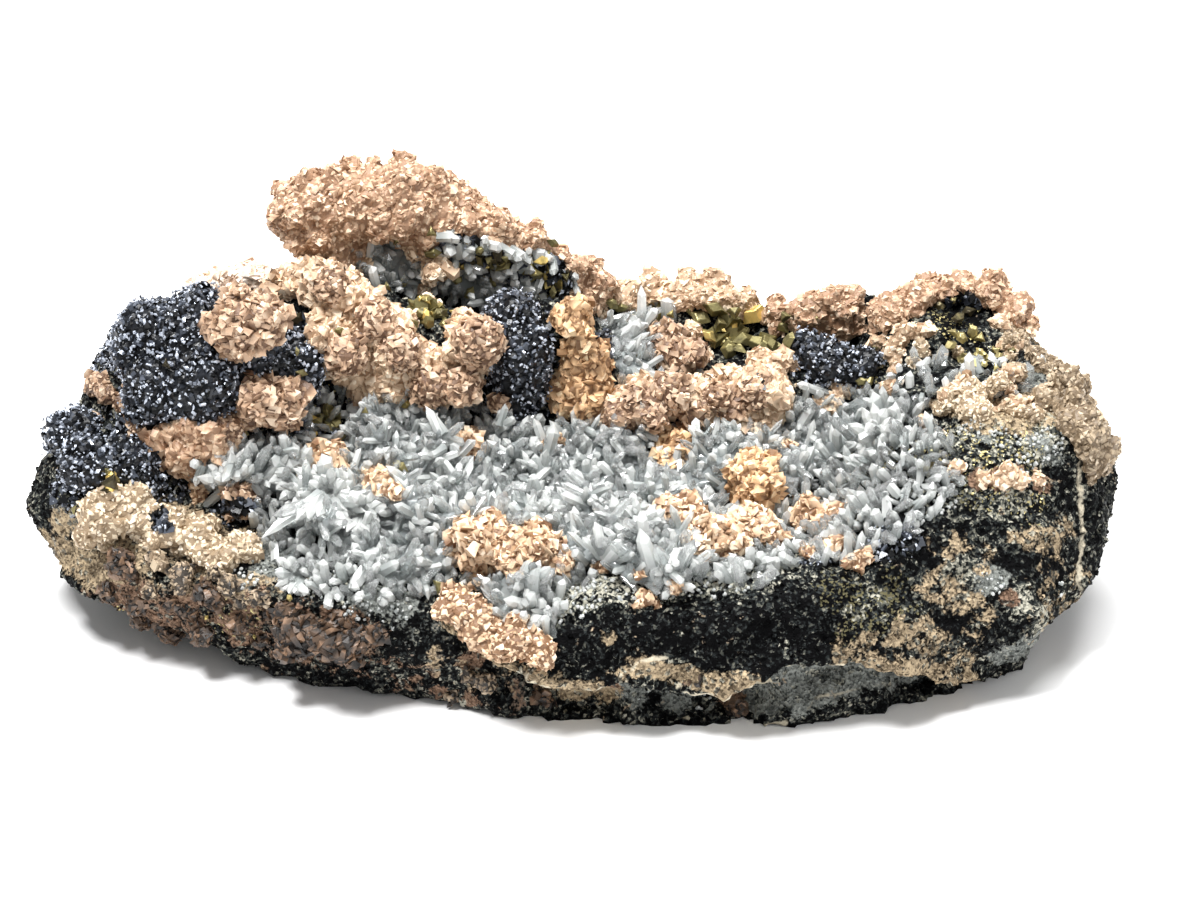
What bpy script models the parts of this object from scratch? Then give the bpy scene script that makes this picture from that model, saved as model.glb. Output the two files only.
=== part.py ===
"""Rhodochrosite specimen: rosettes and crusts of rhodochrosite with quartz, sphalerite and
chalcopyrite, grown on one loose block of ore.

Metres, +Z up. The origin is the middle of the flat face that the block rests on, +X is to the
right of the show side and +Y is away from it. Sizes in the tables are millimetres.
"""

import math
import random

import bmesh
import bpy
from mathutils import Matrix, Vector
from mathutils.bvhtree import BVHTree

MM = 0.001
SEED = 7

# The show side is laid out as seen from one point in front of it and above it. A place on it
# is (across, up) in millimetres from the middle of that view, on the sight line to the rock.
VIEW_MIDDLE = Vector((0.0, 0.0, 25.0)) * MM
VIEW_DISTANCE = 550 * MM
VIEW_ELEVATION = math.radians(30)
VIEW_BACK = Vector((0.0, -math.cos(VIEW_ELEVATION), math.sin(VIEW_ELEVATION)))
VIEW_UP = Vector((0.0, math.sin(VIEW_ELEVATION), math.cos(VIEW_ELEVATION)))
SIGHT_REACH = 80 * MM
SIGHT_STEP = 0.4 * MM

# The ore block: outlines (x, y, z) of its foot, its widest girth and its broken upper edge.
FOOT_Z = -4
FOOT = [
    (-43, -18), (-34, -26), (-14, -34), (8, -37), (28, -36), (44, -31), (57, -24), (65, -10),
    (65, 8), (56, 24), (36, 34), (8, 38), (-20, 36), (-42, 28), (-50, 12), (-50, -6),
]
GIRTH = [
    (-82, -12, 9), (-73, -17, 8), (-60, -22, 9), (-40, -29, 9), (-20, -36, 10), (0, -39, 9),
    (24, -39, 10), (43, -36, 12), (60, -30, 12), (73, -17, 13), (77, -3, 15), (77, 14, 15),
    (71, 28, 15), (56, 39, 14), (30, 45, 13), (0, 46, 13), (-30, 44, 13), (-58, 34, 13),
    (-76, 14, 16),
]
UPPER_EDGE = [
    (-82, -4, 18), (-70, -20, 15), (-52, -25, 16), (-28, -32, 17), (-6, -37, 17),
    (16, -37, 18), (32, -34, 20), (62, 30, 24), (30, 42, 26), (0, 43, 25), (-40, 40, 28),
    (-72, 22, 28),
]

# Corners (x, y, z) of the broken masses that stand on the block.
RIGHT_MASS = [
    (28, -36, 12), (42, -36, 13), (61, -30, 13), (73, -16, 13), (78, 0, 15), (75, 20, 18),
    (62, 36, 18), (38, 38, 16), (44, -24, 27), (58, -15, 32), (71, -4, 32), (76, 6, 28),
    (70, 17, 28), (62, 27, 35.5), (48, 30, 37.5), (42, 24, 32), (34, -20, 22),
]
BACK_WALL = [
    (-56, 26, 14), (-56, 40, 14), (10, 32, 14), (10, 44, 14), (-44, 29, 45), (-42, 38, 41),
    (-24, 29, 47), (-20, 38, 43), (-5, 32, 38), (2, 40, 33),
]

# Rounded masses: (x, y, z), (half length in x, y, z).
ROUND_MASSES = [
    ((-59, 14, 21), (22, 20, 21)),
    ((-50, 26, 24), (18, 12, 17)),
    ((-73, -1, 17), (12, 13, 11)),
    ((-39, 18, 30), (15, 9, 14)),
    ((-27, 16, 30), (14, 8, 11)),
    ((-9, 15, 29), (11, 8, 14)),
    ((10, 11, 24), (14, 6, 6)),
    ((30, 14, 27), (12, 7, 7)),
    ((12, 40, 25), (18, 5, 6)),
    ((36, 36, 27), (12, 6, 7)),
]

# Hollows cut into them, in the same terms.
HOLLOWS = [
    ((-5, -10, 34), (42, 22, 14)),
    ((58, 12, 44), (14, 10, 11)),
    ((17, 27, 38), (19, 10, 13)),
    ((-33, -41, 5), (22, 10, 8)),
    ((22, -47, 3), (44, 11, 4)),
]

REMESH_MM = 1.6
SMOOTH_STEPS = 3
COARSE_RELIEF_MM = 2.2
FINE_RELIEF_MM = 0.9
MATRIX_TRIANGLES = 2000

# What grew on the block keeps this gap to it and to its neighbours. A first, wider cut leaves
# room for thinning out a piece's faces.
GAP_MM = 0.35
FIRST_GAP_MM = 0.6
DRUSE_BED_MM = 1.9
BED_TRIANGLES = 1000
CRUST_REMESH_MM = 0.9
TRIANGLES_PER_LUMP = 26
LOBE_TRIANGLES = 330
FLAT_ANGLE = math.radians(3)

# How far lumps' middles stand off the rock, in their radii, and which way quartz points lean.
SPHALERITE_PROUD = 0.15
CRUST_PROUD = 0.3
ROSETTE_PROUD = 0.5
UPRIGHT = Vector((0, -0.1, 0.5))

# Sphalerite: (across, up, radius) of the lumps that each black mass is made of.
SPHALERITE = {
    "sphalerite_mound": [
        (-67, 16, 7), (-60, 17, 7.5), (-53, 15, 7), (-47, 12, 6), (-59, 10, 7), (-66, 9, 6),
    ],
    "sphalerite_left_end": [(-79, 2, 4.5), (-76, -3, 5), (-71, -2, 5), (-69, -6, 3.5)],
    "sphalerite_column": [(-13, 19.5, 4.4), (-12, 15, 5), (-12, 10, 4.6), (-13.5, 6, 3.4)],
    "sphalerite_saddle": [(31, 14, 3.6), (35, 12.5, 4), (39, 12, 3.2)],
}

# Rhodochrosite crusts: the lumps of each one, in the same terms.
CRUSTS = {
    "rhodochrosite_ridge": [
        (-45, 24.7, 3.8), (-41, 24, 3.8), (-37.5, 22.5, 3.6), (-34, 18.7, 3.8), (-39.7, 15, 5.0),
        (-31.5, 15, 3.8), (-30, 11.2, 3.3), (-34.5, 10.5, 3.2), (-27, 13.5, 3.4), (-23, 12, 3.6),
        (-18.5, 15.5, 4.3), (-22.5, 9.7, 3.6), (-30.5, 18, 3.6),
    ],
    "rhodochrosite_mound_back": [(-60, 23.5, 2.8), (-56.2, 24.7, 3.2), (-51.7, 25.5, 3.2)],
    "rhodochrosite_left_shoulder": [
        (-76.5, 8.5, 3.4), (-72.5, 9, 3.2), (-68, 6, 3.4), (-63.2, 7, 4.2), (-58.5, 2.7, 4.2),
        (-62, -1.2, 3.2), (-65.5, 2, 3.2),
    ],
    "rhodochrosite_column_band": [
        (-3.7, 19.5, 3.0), (-3, 15, 3.4), (-2.7, 10.5, 3.8), (-1.5, 6.7, 4.0), (-5.5, 7.5, 3),
    ],
    "rhodochrosite_saddle": [
        (3.7, 5.2, 3.4), (7.5, 6.7, 3.4), (12, 7.5, 3.2), (15.7, 7.5, 3.2), (19.5, 7.5, 3.4),
        (23.2, 9.7, 3.2), (26.2, 12, 2.8), (21.7, 4.5, 3.0), (26, 7.5, 3.0),
    ],
    "rhodochrosite_back_ridge": [
        (3.7, 23, 2.8), (8.2, 23.5, 3.0), (12.7, 23.2, 3.0), (17.2, 22.5, 3.0), (21.7, 21.7, 2.8),
    ],
    "rhodochrosite_back_knob": [(36, 20.5, 4.6), (31.2, 20.2, 3.0), (27, 20.5, 2.8)],
    "rhodochrosite_right_rim": [
        (43.5, 20.2, 3.4), (47.2, 22.2, 3.4), (51, 23.2, 3.4), (54.7, 23.7, 3.2),
        (58.5, 22.5, 3.4), (61.5, 20.2, 3.4), (64, 16.5, 3.2),
    ],
    "rhodochrosite_right_end": [(70, 7, 3.6), (72.5, 3.5, 3.6), (74, -0.5, 3.4)],
    "rhodochrosite_left_foot": [
        (-74.5, -10, 4.0), (-69.7, -9.5, 3.6), (-65, -12, 3.6), (-60, -14.2, 3.4),
        (-54.7, -15.7, 3.2),
    ],
    "rhodochrosite_front_band": [
        (-21, -23.7, 2.8), (-18, -26.2, 3.0), (-13.5, -28.5, 2.9), (-9.0, -30, 2.7),
    ],
    "rhodochrosite_lower_front": [(-45, -27, 3.2), (-40.5, -28.5, 3.4)],
}

# The overhanging lobe at the back and the slope below it: (x, y, z), radius.
BACK_LOBE = [
    ((-44.5, 29, 50), 6.5), ((-37, 30, 51), 6.6), ((-30, 30, 51.5), 6.4), ((-24, 31, 49), 6.0),
    ((-17.5, 31, 45), 5.0), ((-12, 32, 41.5), 4.8), ((-7, 33, 38), 4.5), ((-2, 34, 33.5), 4.4),
    ((-41, 29, 42), 4.5),
]

# Rosettes that stand alone or in small groups: (across, up, radius) of their balls.
ROSETTES = {
    "rosette_mound_crest": [(-53, 18.7, 4.9)],
    "rosette_mound_face": [(-49.2, 7.5, 4.2)],
    "rosettes_valley": [(10.2, 16.8, 2.8), (12, 13.8, 3.4)],
    "rosette_basin_back_left": [(-19.8, 0.5, 2.4)],
    "rosette_basin_back_right": [(11.2, -0.3, 3.4)],
    "rosette_basin_left": [(-33, -6, 3.0)],
    "rosette_fan": [(-41, -2.2, 3.2)],
    "rosette_left_small": [(-54, -7, 2.4)],
    "rosettes_front_pair": [(-18, -14.2, 4.4), (-10, -15.4, 4.2)],
    "rosette_basin_centre": [(12, -9.4, 2.8)],
    "rosettes_front_right": [(18, -13.2, 3.6), (23.5, -12.5, 3.6)],
    "rosette_basin_right": [(23.2, -5.5, 4.2)],
    "rosettes_right_edge": [(31.5, -10, 2.6), (33.2, -13.4, 2.6)],
}

# Quartz crusts: their round patches, how many points stand on them, the points' length and the
# bed's triangles.
QUARTZ = {
    "quartz_basin": (
        [
            (-36, -8, 9), (-26, -4, 9), (-14, -4, 9), (-2, -3, 9), (10, -4, 8), (22, -2, 8),
            (34, 0, 8), (44, 0, 7), (-30, -16, 7), (-4, -12, 9), (8, -16, 8), (38, -8, 7),
            (26, -16, 5), (-12, -22, 5), (-18, -12, 7), (-33, 3, 5), (-25, 4, 5),
        ],
        44, (3.8, 5.8), 560,
    ),
    "quartz_fan": ([(-54, -2, 4.5), (-48, -3, 4.5)], 5, (4.2, 5.6), 90),
    "quartz_back_hollow": (
        [(-31, 28, 5), (-24, 28, 6), (-16, 26, 6), (-9, 23, 5)], 6, (2.8, 4.0), 120,
    ),
    "quartz_valley": ([(5, 16, 5), (5, 12, 4), (16, 14, 5)], 5, (3.0, 4.4), 90),
    "quartz_right_hollow": ([(48, 10, 5), (54, 9, 5), (60, 9, 4)], 5, (3.0, 4.2), 100),
}

# Chalcopyrite and pyrite: (across, up) of each cluster, its crystals' count, size and spread.
BRASSY = {
    "chalcopyrite_back_hollow": ((-26, 20.5), 6, 2.4, 2.8),
    "chalcopyrite_valley_left": ((8.5, 20.2), 4, 2.3, 2.2),
    "chalcopyrite_valley_right": ((19, 17.5), 6, 2.6, 3.6),
    "pyrite_right_hollow": ((56, 13), 5, 2.0, 2.4),
    "chalcopyrite_left_end": ((-73.5, -5), 2, 2.4, 0.8),
    "chalcopyrite_ridge_foot": ((-41, 4.5), 5, 2.0, 2.2),
}

COLOURS = {
    "matrix": (0.10, 0.10, 0.095), "rhodochrosite": (0.72, 0.42, 0.29),
    "rosette": (0.74, 0.44, 0.30), "quartz": (0.72, 0.76, 0.78),
    "sphalerite": (0.02, 0.022, 0.028), "chalcopyrite": (0.42, 0.33, 0.09),
    "pyrite": (0.50, 0.42, 0.14),
}
ROUGHNESS = {
    "matrix": 0.8, "rhodochrosite": 0.55, "rosette": 0.5, "quartz": 0.12, "sphalerite": 0.3,
    "chalcopyrite": 0.28, "pyrite": 0.25,
}
METALLIC = {"chalcopyrite": 1.0, "pyrite": 1.0}


def clear_scene():
    """Leave an empty scene."""
    for thing in list(bpy.data.objects):
        bpy.data.objects.remove(thing, do_unlink=True)


def collection(name):
    """Return a new collection linked to the scene."""
    made = bpy.data.collections.new(name)
    bpy.context.scene.collection.children.link(made)
    return made


def add_object(name, bm, where):
    """Turn a bmesh into an object in a collection."""
    bmesh.ops.recalc_face_normals(bm, faces=bm.faces)
    mesh = bpy.data.meshes.new(name)
    bm.to_mesh(mesh)
    bm.free()
    made = bpy.data.objects.new(name, mesh)
    where.objects.link(made)
    if where.name == "guides":
        made.hide_render = True
        made.display_type = "WIRE"
    return made


def bake(obj):
    """Apply an object's modifiers to its mesh."""
    graph = bpy.context.evaluated_depsgraph_get()
    mesh = bpy.data.meshes.new_from_object(obj.evaluated_get(graph), depsgraph=graph)
    obj.modifiers.clear()
    obj.data = mesh
    return obj


def copy_of(obj, name, where):
    """Copy an object and its mesh."""
    made = obj.copy()
    made.data = obj.data.copy()
    made.name = name
    where.objects.link(made)
    if where.name == "guides":
        made.hide_render = True
        made.display_type = "WIRE"
    return made


def hull_into(bm, corners):
    """Add the convex block with these corners, in millimetres."""
    added = [bm.verts.new(Vector(corner) * MM) for corner in corners]
    made = bmesh.ops.convex_hull(bm, input=added)
    spare = [v for v in made["geom_interior"] if isinstance(v, bmesh.types.BMVert)]
    bmesh.ops.delete(bm, geom=spare, context="VERTS")


def ellipsoid_into(bm, middle, halves, detail=3):
    """Add an ellipsoid, in millimetres."""
    place = Matrix.Translation(Vector(middle) * MM) @ Matrix.Diagonal((*halves, 1.0))
    bmesh.ops.create_icosphere(bm, subdivisions=detail, radius=MM, matrix=place)


def triangles(obj):
    """Count a mesh's triangles."""
    return sum(len(p.vertices) - 2 for p in obj.data.polygons)


def remesh(obj, size_mm):
    """Weld overlapping bodies of one mesh into one skin of even small faces."""
    weld = obj.modifiers.new("grow together", "REMESH")
    weld.mode = "VOXEL"
    weld.voxel_size = size_mm * MM


def relief(obj, name, kind, size_mm, strength_mm):
    """Push a surface in and out along its normals by a procedural texture."""
    texture = bpy.data.textures.new(name, kind)
    texture.noise_scale = size_mm * MM
    push = obj.modifiers.new(name, "DISPLACE")
    push.texture = texture
    push.texture_coords = "LOCAL"
    push.strength = strength_mm * MM
    push.mid_level = 0.5


def thin_out(obj, wanted):
    """Reduce a mesh to about this many triangles, which leaves broken facets."""
    less = obj.modifiers.new("facets", "DECIMATE")
    less.ratio = min(1.0, wanted / triangles(obj))
    bake(obj)


def boolean(obj, other, operation, solver="EXACT", overlapping=False):
    """Cut, join or intersect a mesh with another one."""
    step = obj.modifiers.new(operation, "BOOLEAN")
    step.operation = operation
    step.object = other
    step.solver = solver
    step.use_self = overlapping
    bake(obj)


def keep_main_body(obj):
    """Drop the crumbs that a cut leaves beside a piece."""
    bm = bmesh.new()
    bm.from_mesh(obj.data)
    bodies = []
    left = set(bm.verts)
    while left:
        body = {left.pop()}
        edge = set(body)
        while edge:
            edge = {e.other_vert(v) for v in edge for e in v.link_edges} - body
            body |= edge
        left -= body
        bodies.append(body)
    bodies.sort(key=len)
    for crumb in bodies[:-1]:
        bmesh.ops.delete(bm, geom=list(crumb), context="VERTS")
    bm.to_mesh(obj.data)
    bm.free()


def cut_flat(obj):
    """Cut off what lies below the resting plane."""
    bm = bmesh.new()
    bm.from_mesh(obj.data)
    everything = bm.verts[:] + bm.edges[:] + bm.faces[:]
    cut = bmesh.ops.bisect_plane(
        bm, geom=everything, plane_co=(0, 0, 0), plane_no=(0, 0, 1), clear_inner=True
    )
    rim = [e for e in cut["geom_cut"] if isinstance(e, bmesh.types.BMEdge)]
    bmesh.ops.holes_fill(bm, edges=rim)
    bmesh.ops.recalc_face_normals(bm, faces=bm.faces)
    bm.to_mesh(obj.data)
    bm.free()


def make_matrix(parts, guides):
    """Build the block of ore as one broken, weathered body with a flat foot."""
    hollow_bm = bmesh.new()
    for middle, halves in HOLLOWS:
        ellipsoid_into(hollow_bm, middle, halves)
    hollows = add_object("hollows", hollow_bm, guides)

    bm = bmesh.new()
    hull_into(bm, [(x, y, FOOT_Z) for x, y in FOOT] + GIRTH + UPPER_EDGE)
    hull_into(bm, RIGHT_MASS)
    hull_into(bm, BACK_WALL)
    for middle, halves in ROUND_MASSES:
        ellipsoid_into(bm, middle, halves)
    matrix = add_object("matrix", bm, parts)
    remesh(matrix, REMESH_MM)
    bake(matrix)
    boolean(matrix, hollows, "DIFFERENCE")
    remesh(matrix, REMESH_MM)
    smooth = matrix.modifiers.new("smooth", "SMOOTH")
    smooth.iterations = SMOOTH_STEPS
    bake(matrix)
    relief(matrix, "coarse", "CLOUDS", 14, COARSE_RELIEF_MM * 2)
    relief(matrix, "fine", "VORONOI", 5, FINE_RELIEF_MM * 2)
    bake(matrix)
    thin_out(matrix, MATRIX_TRIANGLES)
    cut_flat(matrix)
    keep_main_body(matrix)
    return matrix


class Rock:
    """The block as it is found by sight lines: where a place on the show side lies on it."""

    def __init__(self, matrix):
        """Read the block's surface."""
        self.trees = []
        self.add(matrix)

    def add(self, obj):
        """Let a grown piece be stood on, as the block is."""
        graph = bpy.context.evaluated_depsgraph_get()
        self.trees.append(BVHTree.FromObject(obj, graph))

    def distance(self, point, on_pieces):
        """Return how far a point is from the block, or from anything on it."""
        trees = self.trees if on_pieces else self.trees[:1]
        return min(tree.find_nearest(point)[3] for tree in trees)

    def seat(self, across, up, proud, on_pieces=False):
        """Return the point on a sight line that stands this far off the rock, or nearest to it."""
        eye = VIEW_MIDDLE + VIEW_BACK * VIEW_DISTANCE
        aim = VIEW_MIDDLE + Vector((across * MM, 0, 0)) + VIEW_UP * (up * MM)
        ahead = (aim - eye).normalized()
        start = (aim - eye).length - SIGHT_REACH
        best, best_distance = None, 1e9
        for step in range(int(2 * SIGHT_REACH / SIGHT_STEP)):
            point = eye + ahead * (start + step * SIGHT_STEP)
            distance = self.distance(point, on_pieces)
            if distance < best_distance:
                best, best_distance = point, distance
            if distance <= proud * MM:
                return point
        return best

    def outward(self, point):
        """Return the rock's outward direction next to a point."""
        return self.trees[0].find_nearest(point)[1]


def grown_copy(obj, by_mm, guides, name):
    """Copy a solid and grow it by a gap, to cut its neighbours back with."""
    made = copy_of(obj, name, guides)
    push = made.modifiers.new("grow", "DISPLACE")
    push.strength = by_mm * MM
    push.mid_level = 0.0
    return bake(made)


def jagged_ball_into(bm, middle, radius, chance):
    """Add a ball with ridges and folds for a rosette, radius in metres."""
    detail = 2 if radius > 2.0 * MM else 1
    made = bmesh.ops.create_icosphere(
        bm, subdivisions=detail, radius=radius, matrix=Matrix.Translation(middle)
    )
    for corner in made["verts"]:
        corner.co = middle + (corner.co - middle) * chance.uniform(0.86, 1.12)


def quartz_point_into(bm, foot, ahead, length, width):
    """Add one six-sided quartz point that stands on its foot."""
    tip = width * 0.8
    turn = ahead.to_track_quat("Z", "Y").to_matrix().to_4x4()
    shaft = length - tip
    place = Matrix.Translation(foot + ahead * (shaft / 2)) @ turn
    made = bmesh.ops.create_cone(
        bm, cap_ends=True, segments=6, radius1=width / 2 * 1.08, radius2=width / 2, depth=shaft,
        matrix=place,
    )
    faces = {f for v in made["verts"] for f in v.link_faces if len(f.verts) == 6}
    top = max(faces, key=lambda f: f.calc_center_median().dot(ahead))
    bmesh.ops.poke(bm, faces=[top], offset=tip, center_mode="MEAN")


def sphenoid_into(bm, middle, ahead, size, chance):
    """Add one wedge-shaped chalcopyrite crystal: a blunt three-sided pyramid."""
    turn = ahead.to_track_quat("Z", "Y").to_matrix().to_4x4()
    spin = Matrix.Rotation(chance.uniform(0, math.tau), 4, "Z")
    bmesh.ops.create_cone(
        bm, cap_ends=True, segments=3, radius1=size, radius2=size * 0.3, depth=size * 1.3,
        matrix=Matrix.Translation(middle) @ turn @ spin,
    )


def points_on(obj, count, spacing, chance):
    """Return places and outward directions spread over a mesh's outer side."""
    mesh = obj.data
    mesh.calc_loop_triangles()
    faces = [f for f in mesh.loop_triangles if f.area > 0]
    weights = [f.area for f in faces]
    found = []
    for _ in range(count * 30):
        face = chance.choices(faces, weights)[0]
        a, b, c = (mesh.vertices[i].co for i in face.vertices)
        u, w = sorted((chance.random(), chance.random()))
        point = a * u + b * (w - u) + c * (1 - w)
        if all((point - other).length > spacing for other, _ in found):
            found.append((point, face.normal.copy()))
        if len(found) == count:
            break
    return found


def leaning(direction, amount, chance):
    """Return a direction turned a little at random."""
    sway = Vector([chance.gauss(0, amount) for _ in range(3)])
    return (direction + sway).normalized()


def fuse(obj):
    """Join the overlapping bodies of one mesh into one closed skin."""
    far = bmesh.new()
    place = Matrix.Translation((0, 0, -1))
    bmesh.ops.create_icosphere(far, subdivisions=1, radius=MM, matrix=place)
    nothing = add_object("far ball", far, bpy.data.collections["guides"])
    boolean(obj, nothing, "DIFFERENCE", overlapping=True)
    bpy.data.objects.remove(nothing)


def flatten(obj):
    """Merge faces that a cut has split and that still lie in one plane."""
    bm = bmesh.new()
    bm.from_mesh(obj.data)
    bmesh.ops.dissolve_degenerate(bm, dist=0.02 * MM, edges=bm.edges)
    bmesh.ops.dissolve_limit(
        bm, angle_limit=FLAT_ANGLE, verts=bm.verts, edges=bm.edges, use_dissolve_boundaries=False
    )
    bmesh.ops.triangulate(bm, faces=bm.faces)
    bm.to_mesh(obj.data)
    bm.free()


def box_of(obj):
    """Return an object's lowest and highest corner."""
    corners = [v.co for v in obj.data.vertices]
    low = [min(c[k] for c in corners) for k in range(3)]
    high = [max(c[k] for c in corners) for k in range(3)]
    return low, high


def boxes_meet(one, other):
    """Tell whether two objects' boxes overlap."""
    (low_a, high_a), (low_b, high_b) = box_of(one), box_of(other)
    return all(low_a[k] < high_b[k] and low_b[k] < high_a[k] for k in range(3))


class Specimen:
    """The block and all that grew on it, cut back from each other piece by piece."""

    def __init__(self):
        """Build the block and the skin that quartz beds are cut from."""
        self.parts = collection("rhodochrosite specimen")
        self.guides = collection("guides")
        self.matrix = make_matrix(self.parts, self.guides)
        self.rock = Rock(self.matrix)
        self.bed_skin = grown_copy(self.matrix, DRUSE_BED_MM, self.guides, "bed skin")
        remesh(self.bed_skin, REMESH_MM)
        bake(self.bed_skin)
        thin_out(self.bed_skin, BED_TRIANGLES)
        self.cutters, self.wide_cutters = [], []
        self.add_cutters(self.matrix)

    def add_cutters(self, obj):
        """Let later pieces be cut back from this one."""
        self.cutters.append(grown_copy(obj, GAP_MM, self.guides, "grown " + obj.name))
        self.wide_cutters.append(grown_copy(obj, FIRST_GAP_MM, self.guides, "wide " + obj.name))

    def cut_back(self, obj, cutters):
        """Cut a piece back from all that it touches.

        The cutters fold into themselves in tight corners, which the exact solver takes for holes.
        """
        for cutter in cutters:
            if boxes_meet(obj, cutter):
                boolean(obj, cutter, "DIFFERENCE", "MANIFOLD")
        keep_main_body(obj)
        flatten(obj)

    def rough_out(self, obj, wanted):
        """Cut a piece back with room to spare, then thin out its faces."""
        self.cut_back(obj, self.wide_cutters)
        thin_out(obj, wanted)

    def settle(self, obj):
        """Cut a piece back, and let later pieces be cut back from it and stand on it."""
        self.cut_back(obj, self.cutters)
        self.add_cutters(obj)
        self.rock.add(obj)

    def lumps(self, name, balls, proud, chance, on_pieces=False):
        """Add a mass of lumps that grew together."""
        bm = bmesh.new()
        for across, up, radius in balls:
            middle = self.rock.seat(across, up, radius * proud, on_pieces)
            jagged_ball_into(bm, middle, radius * MM, chance)
        mass = add_object(name, bm, self.parts)
        if len(balls) > 1:
            remesh(mass, CRUST_REMESH_MM)
            bake(mass)
            thin_out(mass, 2 * TRIANGLES_PER_LUMP * len(balls))
            self.rough_out(mass, TRIANGLES_PER_LUMP * len(balls) + 20)
        self.settle(mass)

    def back_lobe(self):
        """Add the lobe that overhangs the back hollow."""
        bm = bmesh.new()
        for middle, radius in BACK_LOBE:
            ellipsoid_into(bm, middle, (radius, radius, radius), 2)
        lobe = add_object("rhodochrosite_back_lobe", bm, self.parts)
        remesh(lobe, REMESH_MM)
        relief(lobe, "lobe relief", "VORONOI", 4, 1.6)
        bake(lobe)
        thin_out(lobe, 2 * LOBE_TRIANGLES)
        self.rough_out(lobe, LOBE_TRIANGLES)
        self.settle(lobe)

    def brassy(self, name, place, count, size, spread, chance):
        """Add a cluster of chalcopyrite wedges that grew through each other."""
        middle = self.rock.seat(*place, size * 0.3, on_pieces=True)
        normal = self.rock.outward(middle)
        bm = bmesh.new()
        for turn in range(count):
            angle = math.tau * (turn / count + chance.uniform(-0.06, 0.06))
            along = normal.orthogonal().normalized()
            along.rotate(Matrix.Rotation(angle, 3, normal))
            foot = middle + along * spread * 0.6 * MM
            ahead = leaning(normal + along * 0.4, 0.3, chance)
            sphenoid_into(bm, foot, ahead, size * chance.uniform(0.8, 1.1) * MM, chance)
        cluster = add_object(name, bm, self.parts)
        fuse(cluster)
        self.settle(cluster)

    def quartz(self, name, spots, count, lengths, wanted, chance):
        """Add a thin quartz crust with its points fused on it."""
        bm = bmesh.new()
        for across, up, radius in spots:
            middle = self.rock.seat(across, up, 0.5)
            bmesh.ops.create_icosphere(
                bm, subdivisions=2, radius=radius * MM, matrix=Matrix.Translation(middle)
            )
        bed = add_object(name, bm, self.parts)
        remesh(bed, REMESH_MM)
        bake(bed)
        thin_out(bed, 30 * len(spots))
        boolean(bed, self.bed_skin, "INTERSECT")
        self.rough_out(bed, wanted)
        places = points_on(self.outer_side(bed), count, lengths[0] * 0.5 * MM, chance)
        bm = bmesh.new()
        bm.from_mesh(bed.data)
        for point, normal in places:
            length = chance.uniform(*lengths) * MM
            ahead = leaning(normal + UPRIGHT, 0.35, chance)
            quartz_point_into(bm, point - ahead * 0.6 * MM, ahead, length, length * 0.42)
        bm.to_mesh(bed.data)
        bm.free()
        fuse(bed)
        self.settle(bed)

    def outer_side(self, bed):
        """Return a copy of a crust's bed without the side that lies on the rock."""
        outer = copy_of(bed, "outer " + bed.name, self.guides)
        bm = bmesh.new()
        bm.from_mesh(outer.data)
        inner = [
            f for f in bm.faces
            if self.rock.outward(f.calc_center_median()).dot(f.normal) < 0.3
        ]
        bmesh.ops.delete(bm, geom=inner, context="FACES")
        bm.to_mesh(outer.data)
        bm.free()
        return outer


def paint():
    """Give each piece its mineral's own colour."""
    for obj in bpy.data.collections["rhodochrosite specimen"].objects:
        kind = obj.name.split("_")[0].replace("rosettes", "rosette")
        material = bpy.data.materials.new(obj.name)
        material.use_nodes = True
        shader = material.node_tree.nodes["Principled BSDF"]
        shader.inputs["Base Color"].default_value = (*COLOURS[kind], 1.0)
        shader.inputs["Roughness"].default_value = ROUGHNESS[kind]
        shader.inputs["Metallic"].default_value = METALLIC.get(kind, 0.0)
        obj.data.materials.clear()
        obj.data.materials.append(material)


def main():
    """Build the specimen."""
    clear_scene()
    chance = random.Random(SEED)
    specimen = Specimen()
    for name, balls in SPHALERITE.items():
        specimen.lumps(name, balls, SPHALERITE_PROUD, chance)
    specimen.back_lobe()
    for name, balls in CRUSTS.items():
        specimen.lumps(name, balls, CRUST_PROUD, chance)
    for name, balls in ROSETTES.items():
        specimen.lumps(name, balls, ROSETTE_PROUD, chance, on_pieces=True)
    for name, (place, count, size, spread) in BRASSY.items():
        specimen.brassy(name, place, count, size, spread, chance)
    for name, (spots, count, lengths, wanted) in QUARTZ.items():
        specimen.quartz(name, spots, count, lengths, wanted, chance)
    paint()


main()
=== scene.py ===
"""Looks of a rhodochrosite specimen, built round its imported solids.

Peach rosettes and crusts of rhodochrosite grow with clear quartz points, black sphalerite and
brassy chalcopyrite on one block of granular ore. Everything is in metres, +Z up. The show side
is laid out on a grid of 1200 by 900 steps, which is the view from the camera: a place on it is
where the sight line through that step meets the rock. Other sizes in the tables are
millimetres.
"""

import logging
import math
import random
from collections.abc import Callable, Iterable, Sequence
from dataclasses import dataclass, field
from enum import Enum
from typing import Any

import bmesh
import bpy
import numpy as np
from mathutils import Matrix, Vector
from mathutils.bvhtree import BVHTree
from mathutils.kdtree import KDTree

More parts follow.
